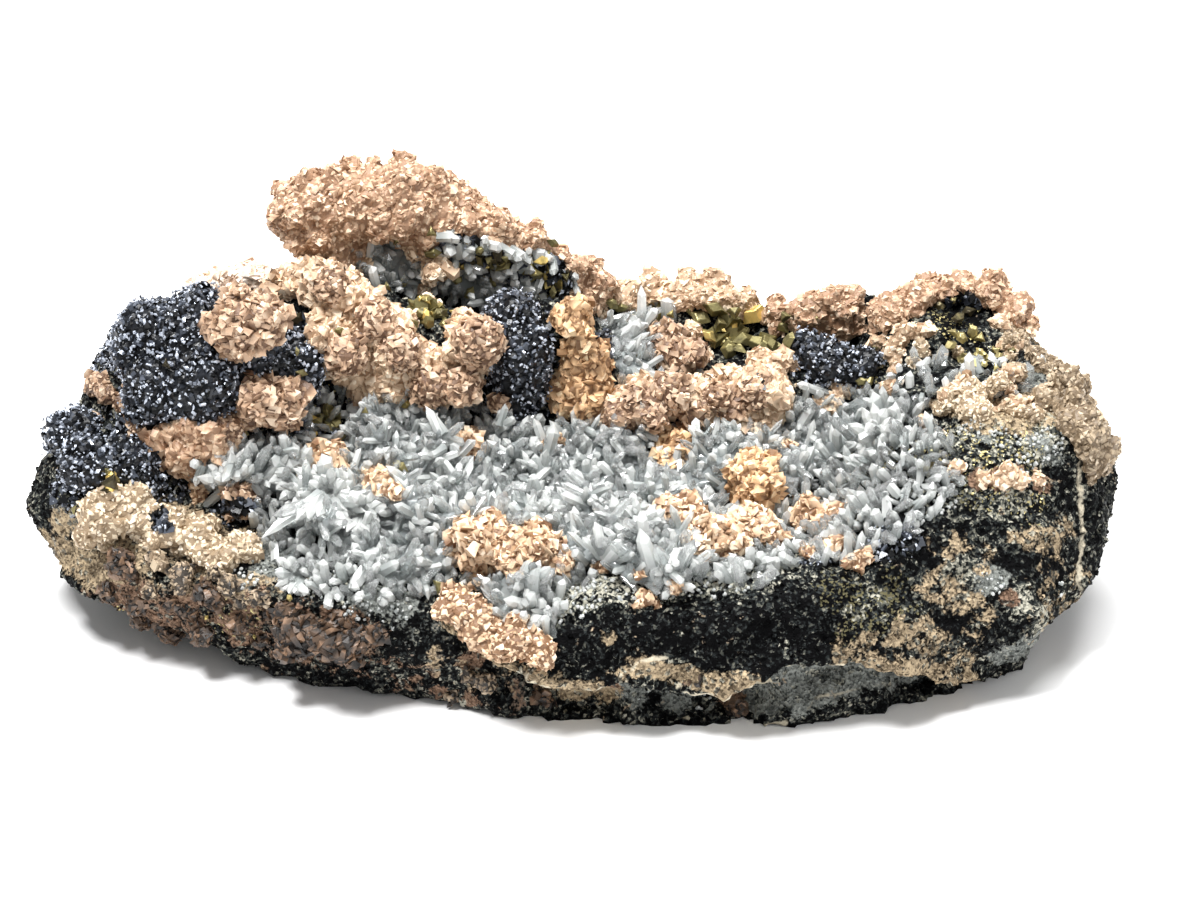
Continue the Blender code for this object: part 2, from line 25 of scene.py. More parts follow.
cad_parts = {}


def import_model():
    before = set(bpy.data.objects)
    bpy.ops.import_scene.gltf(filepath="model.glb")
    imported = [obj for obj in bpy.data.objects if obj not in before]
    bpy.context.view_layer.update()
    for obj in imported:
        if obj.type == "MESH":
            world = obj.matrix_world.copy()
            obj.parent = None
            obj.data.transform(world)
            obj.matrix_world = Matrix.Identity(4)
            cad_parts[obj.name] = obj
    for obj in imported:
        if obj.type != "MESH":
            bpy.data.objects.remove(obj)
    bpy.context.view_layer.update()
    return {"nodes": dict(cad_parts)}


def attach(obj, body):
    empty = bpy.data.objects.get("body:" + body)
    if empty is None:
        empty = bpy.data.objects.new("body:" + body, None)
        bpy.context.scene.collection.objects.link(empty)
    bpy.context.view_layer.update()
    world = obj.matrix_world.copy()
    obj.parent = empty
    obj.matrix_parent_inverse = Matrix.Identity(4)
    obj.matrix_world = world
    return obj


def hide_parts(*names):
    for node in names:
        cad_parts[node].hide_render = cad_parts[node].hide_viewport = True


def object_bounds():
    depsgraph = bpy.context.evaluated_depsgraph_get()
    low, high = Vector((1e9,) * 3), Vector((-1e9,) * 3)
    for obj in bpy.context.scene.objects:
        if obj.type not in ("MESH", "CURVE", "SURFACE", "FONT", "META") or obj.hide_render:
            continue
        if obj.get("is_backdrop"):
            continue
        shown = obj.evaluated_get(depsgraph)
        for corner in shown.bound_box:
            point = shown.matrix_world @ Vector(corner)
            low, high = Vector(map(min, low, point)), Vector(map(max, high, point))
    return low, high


MM = 0.001
BODY = "root"
LOG = logging.getLogger("specimen")

# The view that the show side is laid out from.
VIEW_MIDDLE = Vector((0.0, 0.0, 25.0)) * MM
VIEW_DISTANCE = 550 * MM
VIEW_ELEVATION = math.radians(30)
VIEW_BACK = Vector((0.0, -math.cos(VIEW_ELEVATION), math.sin(VIEW_ELEVATION)))
VIEW_UP = Vector((0.0, math.sin(VIEW_ELEVATION), math.cos(VIEW_ELEVATION)))
EYE = VIEW_MIDDLE + VIEW_BACK * VIEW_DISTANCE
GRID_MIDDLE = (600, 450)
GRID_MM = 0.15
GRID_STEP = GRID_MM * MM
LENS_MM = 110.0
SENSOR_MM = 36.0

SEED = 11
MERGE_M = 1e-6
LEAST_LENGTH = 1e-9

Spot = tuple[float, float, float]
Colour = tuple[float, float, float, float]


def tint(red: int, green: int, blue: int) -> Colour:
    """A display colour as the linear colour that shaders use.

    Args:
        red: Red, 0 to 255.
        green: Green, 0 to 255.
        blue: Blue, 0 to 255.

    Returns:
        The linear colour with full alpha.
    """
    linear = [
        (c / 255 / 12.92) if c <= 10 else ((c / 255 + 0.055) / 1.055) ** 2.4
        for c in (red, green, blue)
    ]
    return (linear[0], linear[1], linear[2], 1.0)


def sight(x: float, y: float) -> Vector:
    """Direction of the sight line through a step of the layout grid.

    Args:
        x: Steps from the left.
        y: Steps from the top.

    Returns:
        The unit direction from the eye.
    """
    across = (x - GRID_MIDDLE[0]) * GRID_STEP
    up = (GRID_MIDDLE[1] - y) * GRID_STEP
    target = VIEW_MIDDLE + Vector((across, 0, 0)) + VIEW_UP * up
    return (target - EYE).normalized()


def on_grid(points: np.ndarray) -> np.ndarray:
    """Places of points on the layout grid.

    Args:
        points: Points in metres, one a row.

    Returns:
        Their steps from the left and from the top, one pair a row.
    """
    away = points - np.array(EYE)
    depth = -(away @ np.array(VIEW_BACK))
    across = away[:, 0] * VIEW_DISTANCE / depth / GRID_STEP + GRID_MIDDLE[0]
    down = GRID_MIDDLE[1] - (away @ np.array(VIEW_UP)) * VIEW_DISTANCE / depth / GRID_STEP
    return np.stack([across, down], axis=1)


def within(places: np.ndarray, outline: Sequence[tuple[float, float]]) -> np.ndarray:
    """Which grid places lie inside an outline.

    Args:
        places: Grid places, one a row.
        outline: Corners of the outline in order.

    Returns:
        True for each place inside.
    """
    inside = np.zeros(len(places), bool)
    corners = np.array(outline, float)
    for (x0, y0), (x1, y1) in zip(corners, np.roll(corners, -1, axis=0)):
        crosses = (y0 > places[:, 1]) != (y1 > places[:, 1])
        rise = y1 - y0 if y1 != y0 else LEAST_LENGTH
        inside ^= crosses & (places[:, 0] < (x1 - x0) * (places[:, 1] - y0) / rise + x0)
    return inside


class Slot(Enum):
    """The kinds of mineral, which pick the crystals and material of some pieces."""

    MATRIX = "matrix"
    RHODOCHROSITE = "rhodochrosite"
    QUARTZ = "quartz"
    SPHALERITE = "sphalerite"
    CHALCOPYRITE = "chalcopyrite"
    PYRITE = "pyrite"


class Zone(Enum):
    """The kinds of skin on the ore block."""

    TAN = "tan_skin"
    PINK = "pink_skin"
    PALE = "pale_skin"
    # Its spots on the front slab are the ore's own dark skin; those under the lip and in the
    # recesses below are painted shade.
    DARK = "dark_skin"
    GREY = "grey_skin"
    BRASS = "brass_skin"
    OLIVE = "olive_skin"
    EDGE = "edge_skin"


class Look(Enum):
    """The tones that rhodochrosite shows."""

    PEACH = "peach"
    CREAM = "cream"
    AMBER = "amber"
    BROWN = "brown"
    SAND = "sand"
    BLUSH = "blush"
    TAUPE = "taupe"
    PALE = "pale"
    IVORY = "ivory"
    SHELL = "shell"


class Lining(Enum):
    """The materials of a crust by number: its own, and those that line its pockets."""

    CRUST = 0
    BLENDE = 1
    QUARTZ = 2
    BRASSY = 3


# The least and the most tone of dull wedges, and of the faces that the sphalerite finish colours as
# painted glints.
DULL = (0.0, 0.8)
GLINT_TONES = (0.9, 1.8)

# Each look is its crease, face and rim colour: the crease colour is painted shade low between the
# plates, and the rim colour is a painted highlight at their outer edges.
TONES: dict[Look, tuple[Colour, Colour, Colour]] = {
    Look.PEACH: (tint(98, 70, 50), tint(192, 160, 132), tint(230, 206, 180)),
    Look.BLUSH: (tint(148, 114, 88), tint(212, 180, 150), tint(240, 219, 193)),
    Look.CREAM: (tint(122, 88, 60), tint(228, 196, 162), tint(252, 236, 212)),
    Look.AMBER: (tint(128, 94, 62), tint(228, 188, 144), tint(250, 226, 188)),
    # The lower front's own brown, darkened further as painted shade where shade falls low on the
    # front.
    Look.BROWN: (tint(18, 13, 10), tint(88, 68, 52), tint(142, 113, 90)),
    Look.TAUPE: (tint(36, 30, 24), tint(146, 127, 105), tint(196, 178, 152)),
    Look.SAND: (tint(120, 102, 80), tint(180, 161, 135), tint(208, 192, 168)),
    Look.PALE: (tint(214, 186, 164), tint(246, 228, 210), tint(255, 246, 236)),
    Look.IVORY: (tint(146, 125, 99), tint(230, 212, 184), tint(250, 240, 222)),
    Look.SHELL: (tint(168, 138, 110), tint(232, 206, 176), tint(250, 236, 214)),
}


class Wire:
    """A value in a finish's node tree, which arithmetic can be written with."""

    def __init__(self, sheet: "Sheet", socket: bpy.types.NodeSocket) -> None:
        """Wraps a socket.

        Args:
            sheet: The node tree that the socket is in.
            socket: The output socket.
        """
        self.sheet = sheet
        self.socket = socket

    def maths(self, operation: str, *values: "Wire | float") -> "Wire":
        """Adds a Math node.

        Args:
            operation: The Math node's operation.
            values: Its values in order.

        Returns:
            The result.
        """
        inputs = dict(enumerate(values))
        return self.sheet.node("ShaderNodeMath", {"operation": operation}, inputs)

    def __add__(self, other: "Wire | float") -> "Wire":
        """The sum."""
        return self.maths("ADD", self, other)

    def __radd__(self, other: float) -> "Wire":
        """The sum, with the plain number first."""
        return self.maths("ADD", other, self)

    def __sub__(self, other: "Wire | float") -> "Wire":
        """The difference."""
        return self.maths("SUBTRACT", self, other)

    def __rsub__(self, other: float) -> "Wire":
        """The difference, with the plain number first."""
        return self.maths("SUBTRACT", other, self)

    def __mul__(self, other: "Wire | float") -> "Wire":
        """The product."""
        return self.maths("MULTIPLY", self, other)

    def __rmul__(self, other: float) -> "Wire":
        """The product, with the plain number first."""
        return self.maths("MULTIPLY", other, self)

    def rise(self, low: float, high: float) -> "Wire":
        """A smooth step.

        Args:
            low: Where it leaves 0.
            high: Where it reaches 1.

        Returns:
            0 up to low, 1 from high, smooth between.
        """
        return self.sheet.node(
            "ShaderNodeMapRange",
            {"interpolation_type": "SMOOTHSTEP"},
            {0: self, 1: low, 2: high, 3: 0.0, 4: 1.0},
        )


class Sheet:
    """The node tree of one finish."""

    def __init__(self, name: str) -> None:
        """Starts an empty material.

        Args:
            name: The material's name.
        """
        self.material = bpy.data.materials.new(name)
        self.material.use_nodes = True
        self.material.node_tree.nodes.clear()
        self.place = self.node("ShaderNodeTexCoord", output="Object")

    def node(
        self,
        kind: str,
        settings: dict[str, Any] | None = None,
        inputs: dict[int | str, Any] | None = None,
        output: int | str = 0,
    ) -> Wire:
        """Adds a node.

        Args:
            kind: The node's type.
            settings: Its properties, set first; "stops" fills a ramp with (place, colour).
            inputs: Values or wires for its sockets, by number or name.
            output: The output that is wanted.

        Returns:
            That output.
        """
        made = self.material.node_tree.nodes.new(kind)
        for name, value in (settings or {}).items():
            if name != "stops":
                setattr(made, name, value)
                continue
            elements = made.color_ramp.elements
            while len(elements) < len(value):
                elements.new(1.0)
            for element, (position, colour) in zip(elements, value):
                element.position, element.color = position, colour
        for key, value in (inputs or {}).items():
            if isinstance(value, Wire):
                self.material.node_tree.links.new(value.socket, made.inputs[key])
            else:
                made.inputs[key].default_value = value
        return Wire(self, made.outputs[output])

    def attribute(self, name: str) -> Wire:
        """A number that the mesh carries at each point."""
        return self.node("ShaderNodeAttribute", {"attribute_name": name}, output="Fac")

    def noise(self, size_mm: float, detail: float = 3.0, rough: float = 0.55) -> Wire:
        """Cloudy noise between 0 and 1.

        Args:
            size_mm: Size of its largest clouds.
            detail: How many finer layers it has.
            rough: How strong they are.

        Returns:
            The noise.
        """
        inputs = {
            "Vector": self.place, "Scale": 1 / (size_mm * MM), "Detail": detail,
            "Roughness": rough,
        }
        return self.node("ShaderNodeTexNoise", None, inputs)

    def grains(self, size_mm: float) -> tuple[Wire, Wire]:
        """Crystal grains.

        Args:
            size_mm: Their size.

        Returns:
            The distance from each grain's middle, and a random number for each grain.
        """
        distance = self.node(
            "ShaderNodeTexVoronoi", None, {"Vector": self.place, "Scale": 1 / (size_mm * MM)}
        )
        colour = Wire(self, distance.socket.node.outputs["Color"])
        return distance, self.node("ShaderNodeSeparateColor", None, {0: colour})

    def mix(self, mask: Wire, first: Any, second: Any) -> Wire:
        """Mixes two colours.

        Args:
            mask: 0 for the first, 1 for the second.
            first: A colour or wire.
            second: A colour or wire.

        Returns:
            The mixed colour.
        """
        inputs = {0: mask, 6: first, 7: second}
        return self.node("ShaderNodeMix", {"data_type": "RGBA"}, inputs, output=2)

    def ramp(self, value: Wire, stops: Sequence[tuple[float, Colour]]) -> Wire:
        """Colours for a number.

        Args:
            value: The number.
            stops: Each place from 0 to 1 and its colour.

        Returns:
            The colour.
        """
        return self.node("ShaderNodeValToRGB", {"stops": list(stops)}, {0: value})

    def bump(self, height: Wire, depth_mm: float) -> Wire:
        """A normal for fine relief.

        Args:
            height: The relief, from 0 to 1.
            depth_mm: How deep it is.

        Returns:
            The normal.
        """
        return self.node("ShaderNodeBump", None, {"Height": height, "Distance": depth_mm * MM})

    def finish(self, inputs: dict[str, Any]) -> bpy.types.Material:
        """Adds the surface shader.

        Args:
            inputs: Values or wires for its sockets.

        Returns:
            The finished material.
        """
        surface = self.node("ShaderNodeBsdfPrincipled", None, inputs)
        output = self.material.node_tree.nodes.new("ShaderNodeOutputMaterial")
        self.material.node_tree.links.new(surface.socket, output.inputs["Surface"])
        return self.material


@dataclass(frozen=True)
class OreFinish:
    """Granular ore, with patches of the kinds of skin that its zones name; the dark zone is partly
    painted shade under the lip and in recesses.
    """

    name: str = "granular_ore"
    grain_mm: float = 0.7
    fine_mm: float = 0.34
    black: Colour = tint(4, 4, 5)
    charcoal: Colour = tint(44, 48, 48)
    stone: Colour = tint(94, 94, 85)
    fleck: Colour = tint(178, 175, 160)
    tan_dark: Colour = tint(74, 63, 50)
    tan_light: Colour = tint(190, 170, 140)
    pink_dark: Colour = tint(66, 50, 40)
    pink_light: Colour = tint(150, 122, 102)
    grey_dark: Colour = tint(66, 69, 67)
    grey_light: Colour = tint(144, 147, 142)
    olive: Colour = tint(98, 93, 68)
    edge: Colour = tint(206, 196, 174)
    brass: Colour = tint(188, 176, 128)

    def patch(self, sheet: Sheet, zone: Zone, rough: Wire, bare: Wire) -> Wire:
        """How much a zone's skin shows.

        Args:
            sheet: The node tree.
            zone: The zone.
            rough: Noise that breaks up its edge.
            bare: Where the ore shows through it.

        Returns:
            The mask.
        """
        return (sheet.attribute(zone.value) + rough).rise(0.38, 0.68) * (1.0 - bare * 0.85)

    def make(self) -> bpy.types.Material:
        """Makes the material."""
        sheet = Sheet(self.name)
        cloud = sheet.noise(5.0, 4.0, 0.6)
        fine = sheet.noise(1.1, 4.0, 0.7)
        edge, grain = sheet.grains(self.grain_mm)
        fine_edge, speck = sheet.grains(self.fine_mm)
        level = (
            grain * 0.42 + speck * 0.42 + cloud * 0.36 + (sheet.attribute("shade") - 0.5) * 0.5
            # The dark zone darkens the ore: its own dark skin on the slab, and painted shade under
            # the lip and in recesses.
            + sheet.attribute(Zone.PALE.value) * 0.3 - sheet.attribute(Zone.DARK.value) * 0.14
        )
        colour = sheet.ramp(
            level,
            [
                (0.56, self.black), (0.74, self.charcoal), (0.86, self.stone),
                (1.0, self.fleck),
            ],
        )
        patchy = sheet.noise(2.6, 3.0, 0.6)
        rough = (fine - 0.5) * 0.6 + (patchy - 0.5) * 2.2 + (speck - 0.5) * 0.2
        warm = (cloud * 0.4 + speck * 0.4 + fine * 0.7).rise(0.45, 1.05)
        bare = (grain + (fine - 0.5) * 0.8).rise(0.8, 0.9)
        yellow = (speck + sheet.attribute(Zone.OLIVE.value) * 0.3 - 0.5).rise(0.5, 0.62)
        colour = sheet.mix(yellow, colour, self.olive)
        for zone, dark, light in (
            (Zone.GREY, self.grey_dark, self.grey_light),
            (Zone.PINK, self.pink_dark, self.pink_light),
            (Zone.TAN, self.tan_dark, self.tan_light),
        ):
            colour = sheet.mix(
                self.patch(sheet, zone, rough, bare), colour, sheet.mix(warm, dark, light)
            )
        line = (sheet.attribute(Zone.EDGE.value) + rough * 0.4).rise(0.5, 0.9)
        colour = sheet.mix(line, colour, self.edge)
        metal = (speck + sheet.attribute(Zone.BRASS.value) * 0.12).rise(1.0, 1.04)
        colour = sheet.mix(metal, colour, self.brass)
        height = fine * 0.6 + edge * 0.7 + fine_edge * 0.35
        return sheet.finish(
            {
                "Base Color": colour,
                "Metallic": metal,
                "Roughness": 0.82 - grain.rise(0.55, 0.9) * 0.42 - metal * 0.25,
                "Specular IOR Level": 0.07,
                "Normal": sheet.bump(height, 0.35),
            }
        )


@dataclass(frozen=True)
class CarbonateFinish:
    """Rhodochrosite: thin plates, browner low in the creases as painted shade and paler at their
    outer rims as a painted highlight.
    """

    name: str
    crease_shade: Colour
    face: Colour
    # The rim colour is a painted highlight at the plates' outer edges.
    rim: Colour

    def make(self) -> bpy.types.Material:
        """Makes the material."""
        sheet = Sheet(self.name)
        rim, shade = sheet.attribute("rim"), sheet.attribute("shade")
        cloud = sheet.noise(4.5, 3.0)
        fine = sheet.noise(0.45, 3.0, 0.6)
        # Low points get the crease colour, which is painted shade; higher ones get the plate's own
        # face colour.
        body = (rim * 0.9 + (cloud - 0.5) * 0.7 + (shade - 0.5) * 0.5).rise(-0.1, 0.75)
        colour = sheet.mix(body, self.crease_shade, self.face)
        # Where the rim value is high, at the plates' outer edges, the rim colour is mixed in as a
        # painted highlight.
        colour = sheet.mix(
            (rim + (shade - 0.5) * 0.9 + (fine - 0.5) * 0.6).rise(0.7, 1.25) * 0.85,
            colour,
            self.rim,
        )
        return sheet.finish(
            {
                "Base Color": colour,
                "Roughness": 0.58 - shade * 0.2,
                "Normal": sheet.bump(fine, 0.12),
            }
        )


@dataclass(frozen=True)
class QuartzFinish:
    """Clear to milky quartz, greyer at its foot as painted shade and whiter at its tips as a
    painted highlight.
    """

    name: str
    foot: Colour
    tip: Colour
    clear: float

    def make(self) -> bpy.types.Material:
        """Makes the material."""
        sheet = Sheet(self.name)
        tip, shade = sheet.attribute("rim"), sheet.attribute("shade")
        cloud = sheet.noise(1.6, 3.0)
        # The foot colour low on each point is painted shade, and the tip colour is a painted
        # highlight.
        colour = sheet.mix(
            (tip + (cloud - 0.5) * 0.6 + (shade - 0.5) * 0.9).rise(0.0, 0.9), self.foot, self.tip
        )
        return sheet.finish(
            {
                "Base Color": colour,
                "Roughness": 0.05 + cloud * 0.1,
                "IOR": 1.55,
                "Transmission Weight": self.clear,
            }
        )


@dataclass(frozen=True)
class BlendeFinish:
    """Sphalerite: black to slate blue, the blue partly its own tone and partly painted sheen, with
    near-white painted glints on tiny faces.
    """

    name: str = "black_sphalerite"
    black: Colour = tint(5, 6, 8)
    # Slate blue: partly the mineral's own tone and partly painted sheen.
    blue: Colour = tint(80, 85, 95)
    # Near-white painted glint, for the tiny faces that stand for sparkles of reflected light.
    painted_glint: Colour = tint(212, 219, 232)

    def make(self) -> bpy.types.Material:
        """Makes the material."""
        sheet = Sheet(self.name)
        shade = sheet.attribute("shade")
        cloud = sheet.noise(2.5, 3.0)
        colour = sheet.mix((shade * 0.9 + cloud * 0.5).rise(0.6, 1.2), self.black, self.blue)
        # Faces with a tone above about 1 get the painted glint colour.
        bright = shade.rise(0.95, 1.7)
        return sheet.finish(
            {
                "Base Color": sheet.mix(bright, colour, self.painted_glint),
                "Metallic": bright * 0.4,
                "Roughness": 0.36 - shade * 0.14,
                "Specular IOR Level": 0.3,
                "Normal": sheet.bump(sheet.noise(0.5, 3.0), 0.05),
            }
        )


@dataclass(frozen=True)
class BrassyFinish:
    """Chalcopyrite and pyrite: brass that has tarnished olive and brown."""

    name: str
    bright: Colour
    olive: Colour
    tarnish: Colour

    def make(self) -> bpy.types.Material:
        """Makes the material."""
        sheet = Sheet(self.name)
        shade = sheet.attribute("shade")
        cloud = sheet.noise(1.4, 4.0, 0.6)
        colour = sheet.mix(
            (shade + (cloud - 0.5) * 0.9).rise(0.1, 0.5), self.tarnish, self.olive
        )
        colour = sheet.mix((shade + (cloud - 0.5) * 0.7).rise(0.6, 0.95), colour, self.bright)
        return sheet.finish(
            {
                "Base Color": colour,
                "Metallic": 0.65,
                "Roughness": 0.24 + cloud * 0.3,
                "Normal": sheet.bump(sheet.noise(0.5, 3.0), 0.06),
            }
        )


@dataclass(frozen=True)
class FloorFinish:
    """A plain pale floor."""

    name: str = "pale_floor"
    pale: Colour = tint(246, 246, 246)
    cloud: Colour = tint(225, 225, 225)

    def make(self) -> bpy.types.Material:
        """Makes the material."""
        sheet = Sheet(self.name)
        cloud = sheet.noise(60.0, 2.0)
        colour = sheet.mix(cloud * 0.04, self.pale, self.cloud)
        return sheet.finish({"Base Color": colour, "Roughness": 0.9})


@dataclass(frozen=True)
class Cast:
    """A small shape that is joined into a piece many times.

    Attributes:
        mesh: Its mesh.
        rim: For each point, 0 at its foot or middle and 1 at its tip or rim.
    """

    mesh: bpy.types.Mesh
    rim: np.ndarray


def mesh_of(bm: bmesh.types.BMesh, name: str) -> bpy.types.Mesh:
    """A bmesh as a new mesh.

    Args:
        bm: The bmesh, which is freed.
        name: The mesh's name.

    Returns:
        The mesh.
    """
    mesh = bpy.data.meshes.new(name)
    bm.to_mesh(mesh)
    bm.free()
    return mesh


def store(mesh: bpy.types.Mesh, name: str, numbers: np.ndarray) -> None:
    """Stores a number at each point of a mesh, for its material to read.

    Args:
        mesh: The mesh.
        name: The attribute's name.
        numbers: The numbers.
    """
    layer = mesh.attributes.new(name, "FLOAT", "POINT")
    layer.data.foreach_set("value", numbers.astype(np.float32))


def cone(
    bm: bmesh.types.BMesh, sides: int, foot: float, top: float, height: float, base: float = 0.0
) -> None:
    """Adds a closed cone or prism round +Z.

    Args:
        bm: The bmesh.
        sides: How many sides it has.
        foot: Its radius at the foot.
        top: Its radius at the top.
        height: Its height.
        base: How high its middle is.
    """
    bmesh.ops.create_cone(
        bm, cap_ends=True, segments=sides, radius1=foot, radius2=top, depth=height,
        matrix=Matrix.Translation((0, 0, base)),
    )


def chamfer(bm: bmesh.types.BMesh, parts: Sequence[Any], kind: str, width: float) -> None:
    """Cuts flat facets at corners or along edges.

    Args:
        bm: The bmesh.
        parts: The corners or edges.
        kind: VERTICES or EDGES.
        width: How wide the facets are.
    """
    bmesh.ops.bevel(
        bm, geom=parts, offset=width, offset_type="OFFSET", segments=1, profile=0.5,
        affect=kind, material=-1,
    )


@dataclass
class Moulds:
    """Shapes the casts, each about one unit in radius or one unit long.

    Attributes:
        chance: The random numbers.
    """

    chance: random.Random

    def casts(
        self, count: int, mould: Callable[[bmesh.types.BMesh, int], None],
        rim: Callable[[Vector], float] = lambda co: 1.0,
    ) -> list[Cast]:
        """Makes the casts of one kind.

        Args:
            count: How many different ones.
            mould: Shapes the cast of a number in an empty bmesh.
            rim: How far towards the rim a point is, from 0 to 1.

        Returns:
            The casts.
        """
        casts = []
        for number in range(count):
            bm = bmesh.new()
            mould(bm, number)
            bmesh.ops.recalc_face_normals(bm, faces=bm.faces)
            values = np.array([rim(vert.co) for vert in bm.verts])
            casts.append(Cast(mesh_of(bm, f"cast_{number}"), values))
        return casts

    def stretch(self, bm: bmesh.types.BMesh, least: float, most: float) -> None:
        """Scales a shape by a random amount along each axis."""
        size = [self.chance.uniform(least, most) for _ in range(3)]
        bmesh.ops.scale(bm, vec=size, verts=bm.verts)

    def petal(self, bm: bmesh.types.BMesh, number: int) -> None:
        """Shapes a plate of rhodochrosite, lying flat.

        Args:
            bm: The empty bmesh.
            number: Which of them it is.
        """
        chance = self.chance
        if number % 2:
            bmesh.ops.create_uvsphere(bm, u_segments=6, v_segments=2, radius=1.0)
            bmesh.ops.scale(bm, vec=(1, 1, chance.uniform(0.34, 0.5)), verts=bm.verts)
        else:
            cone(bm, 4, 1.0, chance.uniform(0.6, 0.85), chance.uniform(0.45, 0.75))
        bend, twist = chance.uniform(0.05, 0.35), chance.uniform(-0.25, 0.25)
        for vert in bm.verts:
            if vert.co.xy.length > 0.3:
                vert.co.xy *= chance.uniform(0.72, 1.12)
                vert.co.z += chance.uniform(-0.12, 0.12)
            vert.co.z += twist * vert.co.x * vert.co.y - bend * vert.co.x**2

    def quartz(self, bm: bmesh.types.BMesh, number: int) -> None:
        """Shapes a six-sided quartz point, standing up.

        Args:
            bm: The empty bmesh.
            number: Which of them it is; not used.
        """
        chance = self.chance
        point = chance.uniform(0.13, 0.26)
        foot, top = chance.uniform(0.4, 0.48), chance.uniform(0.36, 0.47)
        cone(bm, 6, foot, top, 1 - point, (1 - point) / 2)
        cap = max(bm.faces, key=lambda face: face.calc_center_median().z)
        tip = bmesh.ops.poke(bm, faces=[cap], offset=point)["verts"]
        shift = (chance.uniform(-0.2, 0.2), chance.uniform(-0.2, 0.2), 0)
        bmesh.ops.translate(bm, vec=shift, verts=tip)
        for vert in bm.verts:
            if 0.3 < vert.co.z < 0.95 and vert not in tip:
                vert.co.z += chance.uniform(-0.05, 0.05)
            vert.co.xy *= chance.uniform(0.9, 1.08)

    def blende(self, bm: bmesh.types.BMesh, number: int) -> None:
        """Shapes a stubby many-faced crystal of sphalerite.

        Args:
            bm: The empty bmesh.
            number: Which of them it is.
        """
        if number % 2:
            cone(bm, 4, 1.0, 0.4, 1.2)
        else:
            cone(bm, 3, 1.25, 0.0, 1.7)
            chamfer(bm, bm.verts[:], "VERTICES", self.chance.uniform(0.3, 0.45))
        self.stretch(bm, 0.75, 1.1)

    def wedge(self, bm: bmesh.types.BMesh, number: int) -> None:
        """Shapes a wedge of chalcopyrite with narrow bevelled edges.

        Args:
            bm: The empty bmesh.
            number: Which of them it is.
        """
        top, height = self.chance.uniform(0.2, 0.75), self.chance.uniform(0.55, 1.1)
        cone(bm, 3 + number % 3, 1.0, top, height)
        chamfer(bm, bm.edges[:], "EDGES", 0.07)
        self.stretch(bm, 0.6, 1.15)

    def grain(self, bm: bmesh.types.BMesh, number: int) -> None:
        """Shapes a broken grain of ore.

        Args:
            bm: The empty bmesh.
            number: Which of them it is.
        """
        if number % 2:
            bmesh.ops.create_cube(bm, size=1.3)
        else:
            cone(bm, 4, 1.0, 0.5, 1.2)
        for vert in bm.verts:
            vert.co *= self.chance.uniform(0.7, 1.15)


@dataclass(frozen=True)
class Seat:
    """A place on a surface.

    Attributes:
        point: Where it is.
        outward: The way out of the surface there.
    """

    point: Vector
    outward: Vector


def stance(point: Vector, ahead: Vector, size: Sequence[float], turn: float) -> Matrix:
    """A matrix that stands a cast somewhere.

    Args:
        point: Where its origin goes.
        ahead: Where its +Z points.
        size: Its scale along its own axes.
        turn: How far it is turned about +Z first.

    Returns:
        The matrix.
    """
    upright = ahead.to_track_quat("Z", "Y").to_matrix().to_4x4()
    scale = Matrix.Diagonal((size[0], size[1], size[2], 1.0))
    return Matrix.Translation(point) @ upright @ Matrix.Rotation(turn, 4, "Z") @ scale


def leaning(direction: Vector, amount: float, chance: random.Random) -> Vector:
    """A direction near another.

    Args:
        direction: The direction to lean away from.
        amount: How far, as a share of its length.
        chance: The random numbers.

    Returns:
        The unit direction.
    """
    lean = Vector([chance.gauss(0, 1) for _ in range(3)])
    return (direction.normalized() + lean * amount).normalized()


class Cluster:
    """A mesh that a body and many casts are joined into."""

    def __init__(self, body: bpy.types.Mesh | None = None) -> None:
        """Starts the mesh.

        Args:
            body: The mesh that the casts stand on, if it is part of the piece.
        """
        self.bm = bmesh.new()
        self.rims: list[np.ndarray] = []
        self.shades: list[tuple[int, float]] = []
        if body is not None:
            self.bm.from_mesh(body)
            count = len(body.vertices)
            # A body's rim is 0, so a carbonate finish paints all of it with the crease shade.
            self.rims.append(np.zeros(count))
            self.shades.append((count, 0.5))

    def add(
        self, cast: Cast, place: Matrix, shade: float, material: int = 0,
        rim: np.ndarray | None = None,
    ) -> None:
        """Joins one cast.

        Args:
            cast: The cast.
            place: Where it stands.
            shade: Its random tone, from 0 to 1.
            material: The number of its material.
            rim: Its rim values, if they aren't the cast's own.
        """
        mesh = cast.mesh.copy()
        mesh.transform(place)
        if material:
            mesh.polygons.foreach_set("material_index", [material] * len(mesh.polygons))
        self.bm.from_mesh(mesh)
        bpy.data.meshes.remove(mesh)
        self.rims.append(cast.rim if rim is None else rim)
        self.shades.append((len(cast.rim), shade))

    def plant(
        self, casts: Sequence[Cast], point: Vector, ahead: Vector, scale: Sequence[float],
        chance: random.Random, shade: tuple[float, float] = (0.0, 1.0), material: int = 0,
    ) -> None:
        """Joins one of some casts, turned at random.

        Args:
            casts: The casts.
            point: Where its origin goes.
            ahead: Where its +Z points.
            scale: Its scale along its own axes.
            chance: The random numbers.
            shade: The least and the most that its tone can be.
            material: The number of its material.
        """
        place = stance(point, ahead, scale, chance.uniform(0, math.tau))
        self.add(chance.choice(casts), place, chance.uniform(*shade), material)

    def mesh(self, name: str) -> bpy.types.Mesh:
        """The joined mesh.

        Args:
            name: Its name.

        Returns:
            The mesh, with its rim and shade at each point.
        """
        mesh = mesh_of(self.bm, name)
        counts = [count for count, _ in self.shades]
        store(mesh, "rim", np.concatenate(self.rims))
        store(mesh, "shade", np.repeat([shade for _, shade in self.shades], counts))
        return mesh


def points_of(mesh: bpy.types.Mesh) -> np.ndarray:
    """The mesh's points, one a row."""
    points = np.empty(len(mesh.vertices) * 3)
    mesh.vertices.foreach_get("co", points)
    return points.reshape(-1, 3)


